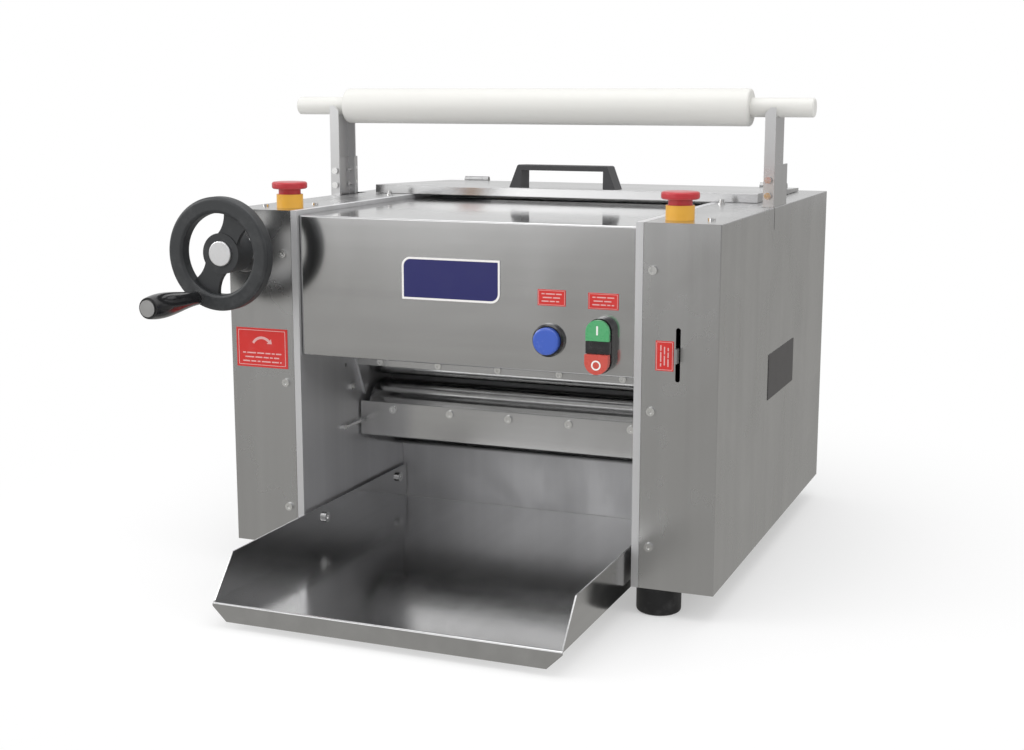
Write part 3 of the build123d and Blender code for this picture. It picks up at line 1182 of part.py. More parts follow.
def twin_cap(sign, z_span, front):
    """One push cap of the twin switch, with its stem."""
    twin_slot(CAP_BACK, CAP_BACK - front, 0.3)
    cut_x = (TWIN_X - TWIN_W, TWIN_X + TWIN_W)
    below = (TWIN_Z - TWIN_H, z_span[0])
    above = (z_span[1], TWIN_Z + TWIN_H)
    for z in (below, above):
        block(cut_x, (front - 1, CAP_BACK + 1), z, Mode.SUBTRACT)
    rod_y(TWIN_STEM_R, (CAP_BACK - 1, HOOD_FACE + 9), TWIN_X, TWIN_Z + sign * TWIN_STEM_RISE)


with BuildPart() as start_button:
    twin_cap(1, (TWIN_Z + 6.4, TWIN_Z + TWIN_H / 2 + 1), HOOD_FACE - TWIN_BODY - 8)
save(start_button, "start_button")

with BuildPart() as stop_button:
    twin_cap(-1, (TWIN_Z - TWIN_H / 2 - 1, TWIN_Z - 7.4), HOOD_FACE - TWIN_BODY - 11)
save(stop_button, "stop_button")

with BuildPart() as contact_blocks:
    back = HOOD_FACE + 9 + BUTTON_TRAVEL + 1
    for x, z, half_h in ((RESET_X, RESET_Z, 14), (TWIN_X, TWIN_Z, 27)):
        block((x - 14, x + 14), (HOOD_FACE + SHEET, back + 24), (z - half_h, z + half_h))
    for x, z in ((RESET_X, RESET_Z), (TWIN_X, TWIN_Z - TWIN_STEM_RISE), (TWIN_X, TWIN_Z + TWIN_STEM_RISE)):
        rod_y(PLUNGER_R + 0.3, (HOOD_FACE, back), x, z, Mode.SUBTRACT)
    for side in SIDES:
        block_x = (side * ESTOP_X - 14, side * ESTOP_X + 14)
        block(block_x, (ESTOP_Y - 14, ESTOP_Y + 14), (TOP - 38, TOP - SHEET))
        rod_z(STEM_R + 0.3, (TOP - 30, TOP), side * ESTOP_X, ESTOP_Y, Mode.SUBTRACT)
save(contact_blocks, "contact_blocks")

# ------------------------------------------------------------ plates and labels
PLATE_T = 0.6


def label(x_span, z_span, face_y):
    block(x_span, (face_y - PLATE_T, face_y), z_span)


with BuildPart() as badge:
    label((-70, 45), (HOOD_TOP - 87, HOOD_TOP - 41), HOOD_FACE)
    corners = badge.edges().filter_by(Axis.Y)
    upper_left = corners.sort_by(Axis.X)[:2].sort_by(Axis.Z)[-1]
    lower_right = corners.sort_by(Axis.X)[-2:].sort_by(Axis.Z)[0]
    fillet([upper_left, lower_right], 10)
save(badge, "badge")

with BuildPart() as red_labels:
    label((88, 119), (HOOD_TOP - 86, HOOD_TOP - 69), HOOD_FACE)
    label((144, 177), (HOOD_TOP - 87, HOOD_TOP - 70), HOOD_FACE)
    label((-HALF_W + 7, -HALF_W + 73), (TOP - 179, TOP - 134), FRONT)
    label((POINTER_X - 23.5, POINTER_X - 4.5), (POINTER_Z - 17, POINTER_Z + 14), FRONT)
save(red_labels, "red_labels")

with BuildPart() as side_label:
    block((HALF_W, HALF_W + PLATE_T), (FRONT + 232, FRONT + 369), (TOP - 221, TOP - 168))
save(side_label, "side_label")

# ------------------------------------------------------------ fasteners
with BuildPart() as casing_screws:
    pan_heads([(s * COLUMN_SCREW_X, z) for s in SIDES for z in COLUMN_SCREW_Z], 4.5, 2.6, 2, 9, FRONT)
    pan_heads([(x, UPPER_LOW + 5) for x in RETURN_SCREW_X], 4, 2.2, 1.5, 0, SCRAPER_Y - 2 - RUN)
    for side in SIDES:
        for x, y in TOP_SCREWS:
            rod_z(4, (TOP, TOP + 2.4), side * x, FRONT + y)
            rod_z(2, (TOP - 8, TOP + 1), side * x, FRONT + y)
            rod_z(1.8, (TOP + 1.2, TOP + 3), side * x, FRONT + y, Mode.SUBTRACT)
        y, z = CHEEK_SCREWS[0]
        rod_x(4.5, (side * (IN - 3), side * IN), y, z)
        rod_x(2.4, (side * (IN - 1), side * OUT), y, z)
        rod_x(2, (side * (IN - 4), side * (IN - 1.4)), y, z, Mode.SUBTRACT)
        rod_z(3, (TOP, TOP + 6), side * (OUT + 11.5), FRONT + 269.6)
        rod_z(4.5, (TOP, TOP + 2), side * (OUT + 11.5), FRONT + 269.6)
save(casing_screws, "casing_screws")

with BuildPart() as frame_bolts:
    for side in SIDES:
        wall = TRAY_HALF - SHEET
        for y, z in TRAY_BOLTS:
            rod_x(7, (side * TRAY_HALF, side * IN), y, z)
            rod_x(3 + FIXED, (side * (TRAY_HALF - 1), side * (IN + 1)), y, z, Mode.SUBTRACT)
            rod_x(6, (side * (wall - 3.5), side * wall), y, z)
            rod_x(3, (side * (wall - 1), side * (OUT + 1)), y, z)
            rod_x(2.6, (side * (wall - 4), side * (wall - 1.8)), y, z, Mode.SUBTRACT)
        for z in UPRIGHT_BOLTS_Z:
            bolt_x = side * UPRIGHT_BOLT_X
            rod_y(4, (UPRIGHT_Y[0] - 3, UPRIGHT_Y[0]), bolt_x, z)
            rod_y(2, (UPRIGHT_Y[0] - 1, UPRIGHT_Y[0] + 10), bolt_x, z)
            rod_y(4, (UPRIGHT_Y[1], UPRIGHT_Y[1] + 7), bolt_x, z)
            rod_y(2, (UPRIGHT_Y[1] - 10, UPRIGHT_Y[1] + 10), bolt_x, z)
    for x, y in FOOT_PLACES:
        rod_z(STUD_R, (FOOT_HEIGHT / 2 - 2.5, FLOOR + BASE + 8), x, y)
    with BuildSketch(Plane.XY.offset(FLOOR + BASE)):
        with Locations(FOOT_PLACES):
            RegularPolygon(7, 6)
    extrude(amount=5)
save(frame_bolts, "frame_bolts")
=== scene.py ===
import math

import bmesh
import bpy
from bpy.props import FloatProperty, FloatVectorProperty, PointerProperty
from mathutils import Matrix, Vector


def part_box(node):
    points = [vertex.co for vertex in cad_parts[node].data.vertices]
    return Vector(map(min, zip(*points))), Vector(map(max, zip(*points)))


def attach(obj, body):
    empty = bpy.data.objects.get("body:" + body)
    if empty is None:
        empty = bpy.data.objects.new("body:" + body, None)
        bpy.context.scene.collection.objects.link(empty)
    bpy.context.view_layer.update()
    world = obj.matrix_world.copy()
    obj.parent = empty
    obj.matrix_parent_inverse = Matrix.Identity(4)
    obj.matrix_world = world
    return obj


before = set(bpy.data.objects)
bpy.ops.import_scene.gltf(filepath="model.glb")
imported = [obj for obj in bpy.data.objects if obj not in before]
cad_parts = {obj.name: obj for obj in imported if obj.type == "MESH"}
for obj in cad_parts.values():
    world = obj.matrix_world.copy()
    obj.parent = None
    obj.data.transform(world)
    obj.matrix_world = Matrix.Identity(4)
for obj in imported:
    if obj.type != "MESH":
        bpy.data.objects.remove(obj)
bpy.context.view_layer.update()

bl_info = {
    "name": "Dough Sheeter Dresser",
    "version": (1, 0, 0),
    "blender": (4, 5, 0),
    "location": "View3D > Sidebar > Sheeter",
    "description": "Finishes and fine pieces for a bench dough sheeter",
    "category": "Object",
}

MM = 0.001


# ------------------------------------------------------------ settings a user can change
def colour(name, description, default):
    """A colour setting in linear values."""
    return FloatVectorProperty(
        name=name, description=description, subtype="COLOR", size=3, min=0, max=1, default=default
    )


def share(name, description, default):
    """A setting from 0 to 1."""
    return FloatProperty(
        name=name, description=description, subtype="FACTOR", min=0, max=1, default=default
    )


class SteelSettings(bpy.types.PropertyGroup):
    """Stainless steel of the covers, hood, tray and rollers."""

    tint: colour("Steel tint", "Reflected colour of the sheet steel", (0.60, 0.60, 0.60))
    cover_roughness: share("Cover roughness", "Blur of reflections on the side covers", 0.22)
    hood_roughness: share("Hood roughness", "Blur of reflections on the hood's front", 0.14)
    table_roughness: share("Feed table roughness", "Blur of reflections on the hood's top", 0.07)
    tray_roughness: share("Tray roughness", "Blur of reflections in the tray", 0.12)
    roller_roughness: share("Roller roughness", "Blur of reflections on the rollers", 0.16)
    grain: FloatProperty(
        name="Grain depth", description="Depth of the brushed grain", default=0.00002, min=0, max=0.001,
        unit="LENGTH",
    )


class PlasticSettings(bpy.types.PropertyGroup):
    """Plastic, paint and rubber colours."""

    wheel: colour("Handwheel", "Moulded black of the handwheel", (0.028, 0.030, 0.032))
    grip: colour("Crank grip", "Polished black of the crank grip", (0.012, 0.012, 0.013))
    pin: colour("Rolling pin", "Ivory of the rolling pin's sleeve and shaft", (0.72, 0.715, 0.685))
    stop_head: colour("Stop head", "Red of the emergency stop heads", (0.50, 0.025, 0.035))
    stop_collar: colour("Stop collar", "Yellow of the emergency stop collars", (0.86, 0.45, 0.05))
    reset: colour("Reset button", "Blue of the reset button", (0.045, 0.11, 0.50))
    start: colour("Start button", "Green of the start button", (0.075, 0.38, 0.15))
    stop: colour("Stop button", "Red of the stop button", (0.58, 0.075, 0.055))
    badge: colour("Badge", "Navy of the badge", (0.012, 0.013, 0.12))
    label: colour("Label", "Red of the labels", (0.62, 0.022, 0.018))
    print: colour("Print", "Pale print on labels and buttons", (0.86, 0.84, 0.82))
    rubber: colour("Feet", "Black of the rubber feet", (0.010, 0.010, 0.011))


class StageSettings(bpy.types.PropertyGroup):
    """Floor colour and camera."""

    focal: FloatProperty(name="Focal length", description="Camera lens in millimetres", default=53.89)
    distance: FloatProperty(
        name="Camera setback", description="Camera distance in front of the origin", default=1.7676,
        unit="LENGTH",
    )
    offset: FloatProperty(
        name="Camera offset", description="Camera distance right of the origin", default=0.6587,
        unit="LENGTH",
    )
    height: FloatProperty(
        name="Camera height", description="Camera height above the bench", default=0.5456, unit="LENGTH"
    )
    turn: FloatProperty(
        name="Camera turn", description="Camera heading, left of straight ahead",
        default=math.radians(21.90), unit="ROTATION",
    )
    tilt: FloatProperty(
        name="Camera tilt", description="Camera pitch below level", default=math.radians(10.51),
        unit="ROTATION",
    )
    floor: colour("Floor", "Pale colour of the floor", (0.90, 0.90, 0.90))


# ------------------------------------------------------------ node helpers
def place(nodes, kind, inputs=None, **settings):
    """Add a shader node with its properties and unlinked input values."""
    node = nodes.new(kind)
    for key, value in settings.items():
        setattr(node, key, value)
    for key, value in (inputs or {}).items():
        node.inputs[key].default_value = value
    return node


def effect(name, inputs, outputs):
    """A node group with named sockets, made once, and its in and out nodes."""
    group = bpy.data.node_groups.new(name, "ShaderNodeTree")
    for socket, kind, value in inputs:
        made = group.interface.new_socket(socket, in_out="INPUT", socket_type=kind)
        if value is not None:
            made.default_value = value
    for socket, kind in outputs:
        group.interface.new_socket(socket, in_out="OUTPUT", socket_type=kind)
    return group, group.nodes.new("NodeGroupInput"), group.nodes.new("NodeGroupOutput")


def math_node(nodes, operation, a=None, b=None, c=None):
    """A Math node with some of its inputs set."""
    node = nodes.new("ShaderNodeMath")
    node.operation = operation
    for socket, value in zip(node.inputs, (a, b, c)):
        if value is not None:
            socket.default_value = value
    return node


def ramp(nodes, stops):
    """A colour ramp with grey or coloured stops."""
    node = nodes.new("ShaderNodeValToRGB")
    elements = node.color_ramp.elements
    while len(elements) > len(stops):
        elements.remove(elements[-1])
    while len(elements) < len(stops):
        elements.new(0.5)
    for element, (place_on_ramp, value) in zip(elements, stops):
        element.position = place_on_ramp
        element.color = (*value, 1) if isinstance(value, tuple) else (value, value, value, 1)
    return node


def brushed_grain():
    """Fine parallel scratches: a height for bump and a slow streak value."""
    group, into, out = effect(
        "Brushed grain",
        [
            ("Vector", "NodeSocketVector", None),
            ("Density", "NodeSocketFloat", 900.0),
            ("Waver", "NodeSocketFloat", 0.15),
        ],
        [("Height", "NodeSocketFloat"), ("Streak", "NodeSocketFloat")],
    )
    nodes, links = group.nodes, group.links
    fine = place(nodes, "ShaderNodeTexNoise", {"Detail": 3.0, "Roughness": 0.65})
    slow_density = math_node(nodes, "MULTIPLY", None, 0.06)
    slow = place(nodes, "ShaderNodeTexNoise", {"Detail": 2.0, "Roughness": 0.5})
    links.new(into.outputs["Vector"], fine.inputs["Vector"])
    links.new(into.outputs["Density"], fine.inputs["Scale"])
    links.new(into.outputs["Waver"], fine.inputs["Distortion"])
    links.new(into.outputs["Density"], slow_density.inputs[0])
    links.new(into.outputs["Vector"], slow.inputs["Vector"])
    links.new(slow_density.outputs[0], slow.inputs["Scale"])
    links.new(fine.outputs["Fac"], out.inputs["Height"])
    links.new(slow.outputs["Fac"], out.inputs["Streak"])
    return group


def handling_marks():
    """Soft blotches left by wiping and hands, as a value from 0 to 1."""
    group, into, out = effect(
        "Handling marks",
        [("Vector", "NodeSocketVector", None), ("Scale", "NodeSocketFloat", 6.0)],
        [("Marks", "NodeSocketFloat")],
    )
    nodes, links = group.nodes, group.links
    cloud = place(nodes, "ShaderNodeTexNoise", {"Detail": 5.0, "Roughness": 0.55, "Distortion": 0.8})
    soften = ramp(nodes, [(0.38, 0.0), (0.68, 1.0)])
    links.new(into.outputs["Vector"], cloud.inputs["Vector"])
    links.new(into.outputs["Scale"], cloud.inputs["Scale"])
    links.new(cloud.outputs["Fac"], soften.inputs["Fac"])
    links.new(soften.outputs["Color"], out.inputs["Marks"])
    return group


def moulded_skin():
    """The fine pebbled skin of moulded plastic, and dust lying on it."""
    group, into, out = effect(
        "Moulded skin",
        [("Vector", "NodeSocketVector", None), ("Pebble", "NodeSocketFloat", 1500.0)],
        [("Height", "NodeSocketFloat"), ("Dust", "NodeSocketFloat")],
    )
    nodes, links = group.nodes, group.links
    pebble = place(nodes, "ShaderNodeTexNoise", {"Detail": 2.0, "Roughness": 0.5})
    dust = place(nodes, "ShaderNodeTexNoise", {"Scale": 60.0, "Detail": 6.0, "Roughness": 0.7})
    lift = ramp(nodes, [(0.50, 0.0), (0.80, 1.0)])
    links.new(into.outputs["Vector"], pebble.inputs["Vector"])
    links.new(into.outputs["Pebble"], pebble.inputs["Scale"])
    links.new(into.outputs["Vector"], dust.inputs["Vector"])
    links.new(dust.outputs["Fac"], lift.inputs["Fac"])
    links.new(pebble.outputs["Fac"], out.inputs["Height"])
    links.new(lift.outputs["Color"], out.inputs["Dust"])
    return group


EFFECTS = {}


def effect_node(nodes, name):
    """Place one of the shared effects in a material."""
    makers = {
        "Brushed grain": brushed_grain,
        "Handling marks": handling_marks,
        "Moulded skin": moulded_skin,
    }
    if name not in EFFECTS:
        EFFECTS[name] = makers[name]()
    node = nodes.new("ShaderNodeGroup")
    node.node_tree = EFFECTS[name]
    return node


def blank_material(name):
    """A material with its surface shader and the object's own coordinates."""
    material = bpy.data.materials.new(name)
    material.use_nodes = True
    nodes = material.node_tree.nodes
    surface = nodes["Principled BSDF"]
    where = nodes.new("ShaderNodeTexCoord")
    return material, nodes, material.node_tree.links, surface, where


def spread_value(nodes, links, source, low, high):
    """Map a 0 to 1 value onto a range."""
    spread = place(nodes, "ShaderNodeMapRange", {"To Min": low, "To Max": high})
    links.new(source, spread.inputs["Value"])
    return spread.outputs["Result"]


def tone(nodes, links, source, dark, light):
    """Mix two colours by a 0 to 1 value."""
    mix = place(nodes, "ShaderNodeMix", data_type="RGBA")
    mix.inputs["A"].default_value = (*dark, 1)
    mix.inputs["B"].default_value = (*light, 1)
    links.new(source, mix.inputs["Factor"])
    return mix.outputs["Result"]


def bump(nodes, links, height, distance, surface, strength=1.0):
    """Raise the surface by a height."""
    node = place(nodes, "ShaderNodeBump", {"Strength": strength, "Distance": distance})
    links.new(height, node.inputs["Height"])
    links.new(node.outputs["Normal"], surface.inputs["Normal"])


# ------------------------------------------------------------ steel
GRAIN_SQUEEZE = 0.012  # how far coordinates shrink along the grain


def grain_vector(nodes, links, where, along):
    """Coordinates squeezed so that noise runs in lines along one axis."""
    scale = [1.0, 1.0, 1.0]
    scale["xyz".index(along)] = GRAIN_SQUEEZE
    mapping = place(nodes, "ShaderNodeMapping", {"Scale": scale})
    links.new(where.outputs["Object"], mapping.inputs["Vector"])
    return mapping.outputs["Vector"]


def brushed_steel(
    name, tint, roughness, along, depth, spread=0.06, turn=0.0, stretch=0.5, density=900.0
):
    """Brushed stainless sheet whose grain runs along x, y or z."""
    material, nodes, links, surface, where = blank_material(name)
    grain = effect_node(nodes, "Brushed grain")
    grain.inputs["Density"].default_value = density
    links.new(grain_vector(nodes, links, where, along), grain.inputs["Vector"])
    marks = effect_node(nodes, "Handling marks")
    marks.inputs["Scale"].default_value = 7.0
    links.new(where.outputs["Object"], marks.inputs["Vector"])
    both = math_node(nodes, "MULTIPLY_ADD", None, 0.55)
    links.new(grain.outputs["Streak"], both.inputs[0])
    links.new(marks.outputs["Marks"], both.inputs[2])
    links.new(
        spread_value(nodes, links, both.outputs[0], roughness - spread / 2, roughness + spread),
        surface.inputs["Roughness"],
    )
    dark = tuple(v * 0.90 for v in tint)
    light = tuple(min(1, v * 1.07) for v in tint)
    links.new(tone(nodes, links, grain.outputs["Streak"], dark, light), surface.inputs["Base Color"])
    surface.inputs["Metallic"].default_value = 1.0
    surface.inputs["Anisotropic"].default_value = stretch
    surface.inputs["Anisotropic Rotation"].default_value = turn
    bump(nodes, links, grain.outputs["Height"], depth, surface, 0.6)
    return material


def hood_steel(settings):
    """Sheet that is nearly a mirror on its level top and brushed on its front."""
    material, nodes, links, surface, where = blank_material("hood_steel")
    grain = effect_node(nodes, "Brushed grain")
    links.new(grain_vector(nodes, links, where, "x"), grain.inputs["Vector"])
    marks = effect_node(nodes, "Handling marks")
    marks.inputs["Scale"].default_value = 5.0
    links.new(where.outputs["Object"], marks.inputs["Vector"])
    geometry = nodes.new("ShaderNodeNewGeometry")
    split = nodes.new("ShaderNodeSeparateXYZ")
    links.new(geometry.outputs["Normal"], split.inputs["Vector"])
    level = place(nodes, "ShaderNodeMapRange", {"From Min": 0.3, "From Max": 0.8})
    links.new(split.outputs["Z"], level.inputs["Value"])
    base = place(
        nodes, "ShaderNodeMapRange",
        {"To Min": settings.hood_roughness, "To Max": settings.table_roughness},
    )
    links.new(level.outputs["Result"], base.inputs["Value"])
    smear = math_node(nodes, "MULTIPLY_ADD", None, 0.05)
    links.new(marks.outputs["Marks"], smear.inputs[0])
    links.new(base.outputs["Result"], smear.inputs[2])
    links.new(smear.outputs[0], surface.inputs["Roughness"])
    tint = tuple(settings.tint)
    dark = tuple(v * 0.92 for v in tint)
    light = tuple(min(1, v * 1.08) for v in tint)
    links.new(tone(nodes, links, grain.outputs["Streak"], dark, light), surface.inputs["Base Color"])
    surface.inputs["Metallic"].default_value = 1.0
    surface.inputs["Anisotropic"].default_value = 0.45
    surface.inputs["Anisotropic Rotation"].default_value = 0.25
    bump(nodes, links, grain.outputs["Height"], settings.grain * 0.4, surface, 0.25)
    return material


def turned_steel(name, tint, roughness, depth):
    """Turned or ground steel with rings square to its axis along X."""
    return brushed_steel(name, tint, roughness, "y", depth, 0.05, 0.0, 0.6, 1400.0)


def plain_metal(name, tint, roughness, speckle=420.0):
    """Small machined or cast metal pieces with fine speckle."""
    material, nodes, links, surface, where = blank_material(name)
    skin = effect_node(nodes, "Moulded skin")
    skin.inputs["Pebble"].default_value = speckle
    links.new(where.outputs["Object"], skin.inputs["Vector"])
    links.new(
        spread_value(nodes, links, skin.outputs["Height"], roughness - 0.06, roughness + 0.10),
        surface.inputs["Roughness"],
    )
    dark = tuple(v * 0.82 for v in tint)
    links.new(tone(nodes, links, skin.outputs["Dust"], tint, dark), surface.inputs["Base Color"])
    surface.inputs["Metallic"].default_value = 1.0
    bump(nodes, links, skin.outputs["Height"], 0.00002, surface, 0.5)
    return material


# ------------------------------------------------------------ plastic, paint and rubber
def moulded(name, tint, roughness, pebble=1500.0, depth=0.00003, dust=0.06, coat=0.0):
    """Moulded plastic with a fine skin, faint dust and an optional gloss coat."""
    material, nodes, links, surface, where = blank_material(name)
    skin = effect_node(nodes, "Moulded skin")
    skin.inputs["Pebble"].default_value = pebble
    links.new(where.outputs["Object"], skin.inputs["Vector"])
    dusty = tuple(v + (0.45 - v) * dust for v in tint)
    links.new(tone(nodes, links, skin.outputs["Dust"], tint, dusty), surface.inputs["Base Color"])
    links.new(
        spread_value(nodes, links, skin.outputs["Dust"], roughness, roughness + 0.15),
        surface.inputs["Roughness"],
    )
    surface.inputs["Coat Weight"].default_value = coat
    surface.inputs["Coat Roughness"].default_value = 0.08
    bump(nodes, links, skin.outputs["Height"], depth, surface, 0.6)
    return material


# ------------------------------------------------------------ mesh helpers
def new_object(name, mesh, material):
    """Link a mesh as an object that wears one material."""
    made = bpy.data.objects.new(name, mesh)
    bpy.context.scene.collection.objects.link(made)
    made.data.materials.append(material)
    return made


def finish_mesh(name, shape, material, smooth_angle=35):
    """Turn a bmesh into an object with smooth shading up to an angle."""
    bmesh.ops.recalc_face_normals(shape, faces=shape.faces)
    mesh = bpy.data.meshes.new(name)
    shape.to_mesh(mesh)
    shape.free()
    made = new_object(name, mesh, material)
    for polygon in mesh.polygons:
        polygon.use_smooth = True
    mesh.set_sharp_from_angle(angle=math.radians(smooth_angle))
    return made


def dress(names, material):
    """Give CAD pieces a material in place of their own."""
    for name in names:
        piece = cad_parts[name]
        for slot in piece.material_slots:
            slot.material = material
        if not piece.material_slots:
            piece.data.materials.append(material)


def rounded_outline(width, height, radii, steps=8):
    """Outline of a rectangle about (0, 0); radii go anticlockwise from the lower right."""
    corners = ((1, -1, -90), (1, 1, 0), (-1, 1, 90), (-1, -1, 180))
    points = []
    for (sx, sy, start), radius in zip(corners, radii):
        cx, cy = sx * (width / 2 - radius), sy * (height / 2 - radius)
        for step in range(steps + 1):
            angle = math.radians(start + 90 * step / steps)
            points.append((cx + radius * math.cos(angle), cy + radius * math.sin(angle)))
    return points


def circle_outline(radius, steps=48):
    """Outline of a circle about (0, 0)."""
    angles = [2 * math.pi * k / steps for k in range(steps)]
    return [(radius * math.cos(angle), radius * math.sin(angle)) for angle in angles]


def raise_plate(shape, outline, matrix, depth):
    """A flat plate from an outline: its face lies at z = depth of the matrix."""
    low = [shape.verts.new(matrix @ Vector((u, v, 0))) for u, v in outline]
    high = [shape.verts.new(matrix @ Vector((u, v, depth))) for u, v in outline]
    count = len(outline)
    shape.faces.new(high)
    shape.faces.new(list(reversed(low)))
    for k in range(count):
        after = (k + 1) % count
        shape.faces.new((low[k], low[after], high[after], high[k]))


def raise_ring(shape, outer, inner, matrix, depth):
    """A flat ring between two outlines with the same number of points."""
    loops = []
    for outline in (outer, inner):
        for height in (0, depth):
            loops.append([shape.verts.new(matrix @ Vector((u, v, height))) for u, v in outline])
    outer_low, outer_high, inner_low, inner_high = loops
    count = len(outer)
    for k in range(count):
        after = (k + 1) % count
        for a, b in (
            (outer_high, inner_high),
            (inner_low, outer_low),
            (outer_low, outer_high),
            (inner_high, inner_low),
        ):
            shape.faces.new((a[k], a[after], b[after], b[k]))


def front_matrix(x, y, z):
    """Local x is +X, local y is +Z and local z faces the operator."""
    facing = Matrix(((1, 0, 0, 0), (0, 0, -1, 0), (0, 1, 0, 0), (0, 0, 0, 1)))
    return Matrix.Translation((x, y, z)) @ facing


# ------------------------------------------------------------ operators
FLOOR_RADIUS = 6.0
WHITE_FROM, WHITE_BY = 0.25, 0.85  # the floor fades to white between these distances
WHITE_LEAST = 0.35  # share of white beside the machine
MIRRORED_FLOOR = (0.40, 0.395, 0.38, 1)  # the one tone steel sees below it
SOFTBOXES = (  # name, place, target, width, height, power
    ("overhead_softbox", (0.1, -0.3, 2.4), (0, 0, 0.1), 2.4, 2.0, 24),
    ("left_softbox", (-1.9, -1.2, 1.4), (0, 0, 0.25), 1.3, 1.1, 14),
    ("right_softbox", (2.2, -0.6, 1.3), (0.1, 0, 0.25), 1.0, 1.2, 5),
    ("low_left_softbox", (-0.75, -2.4, 0.75), (0, -0.1, 0.2), 1.0, 0.8, 2.6),
    ("low_right_softbox", (1.3, -2.1, 0.80), (-0.1, -0.1, 0.15), 1.0, 0.8, 1.0),
)
SYMBOL_DEPTH = 0.15 * MM


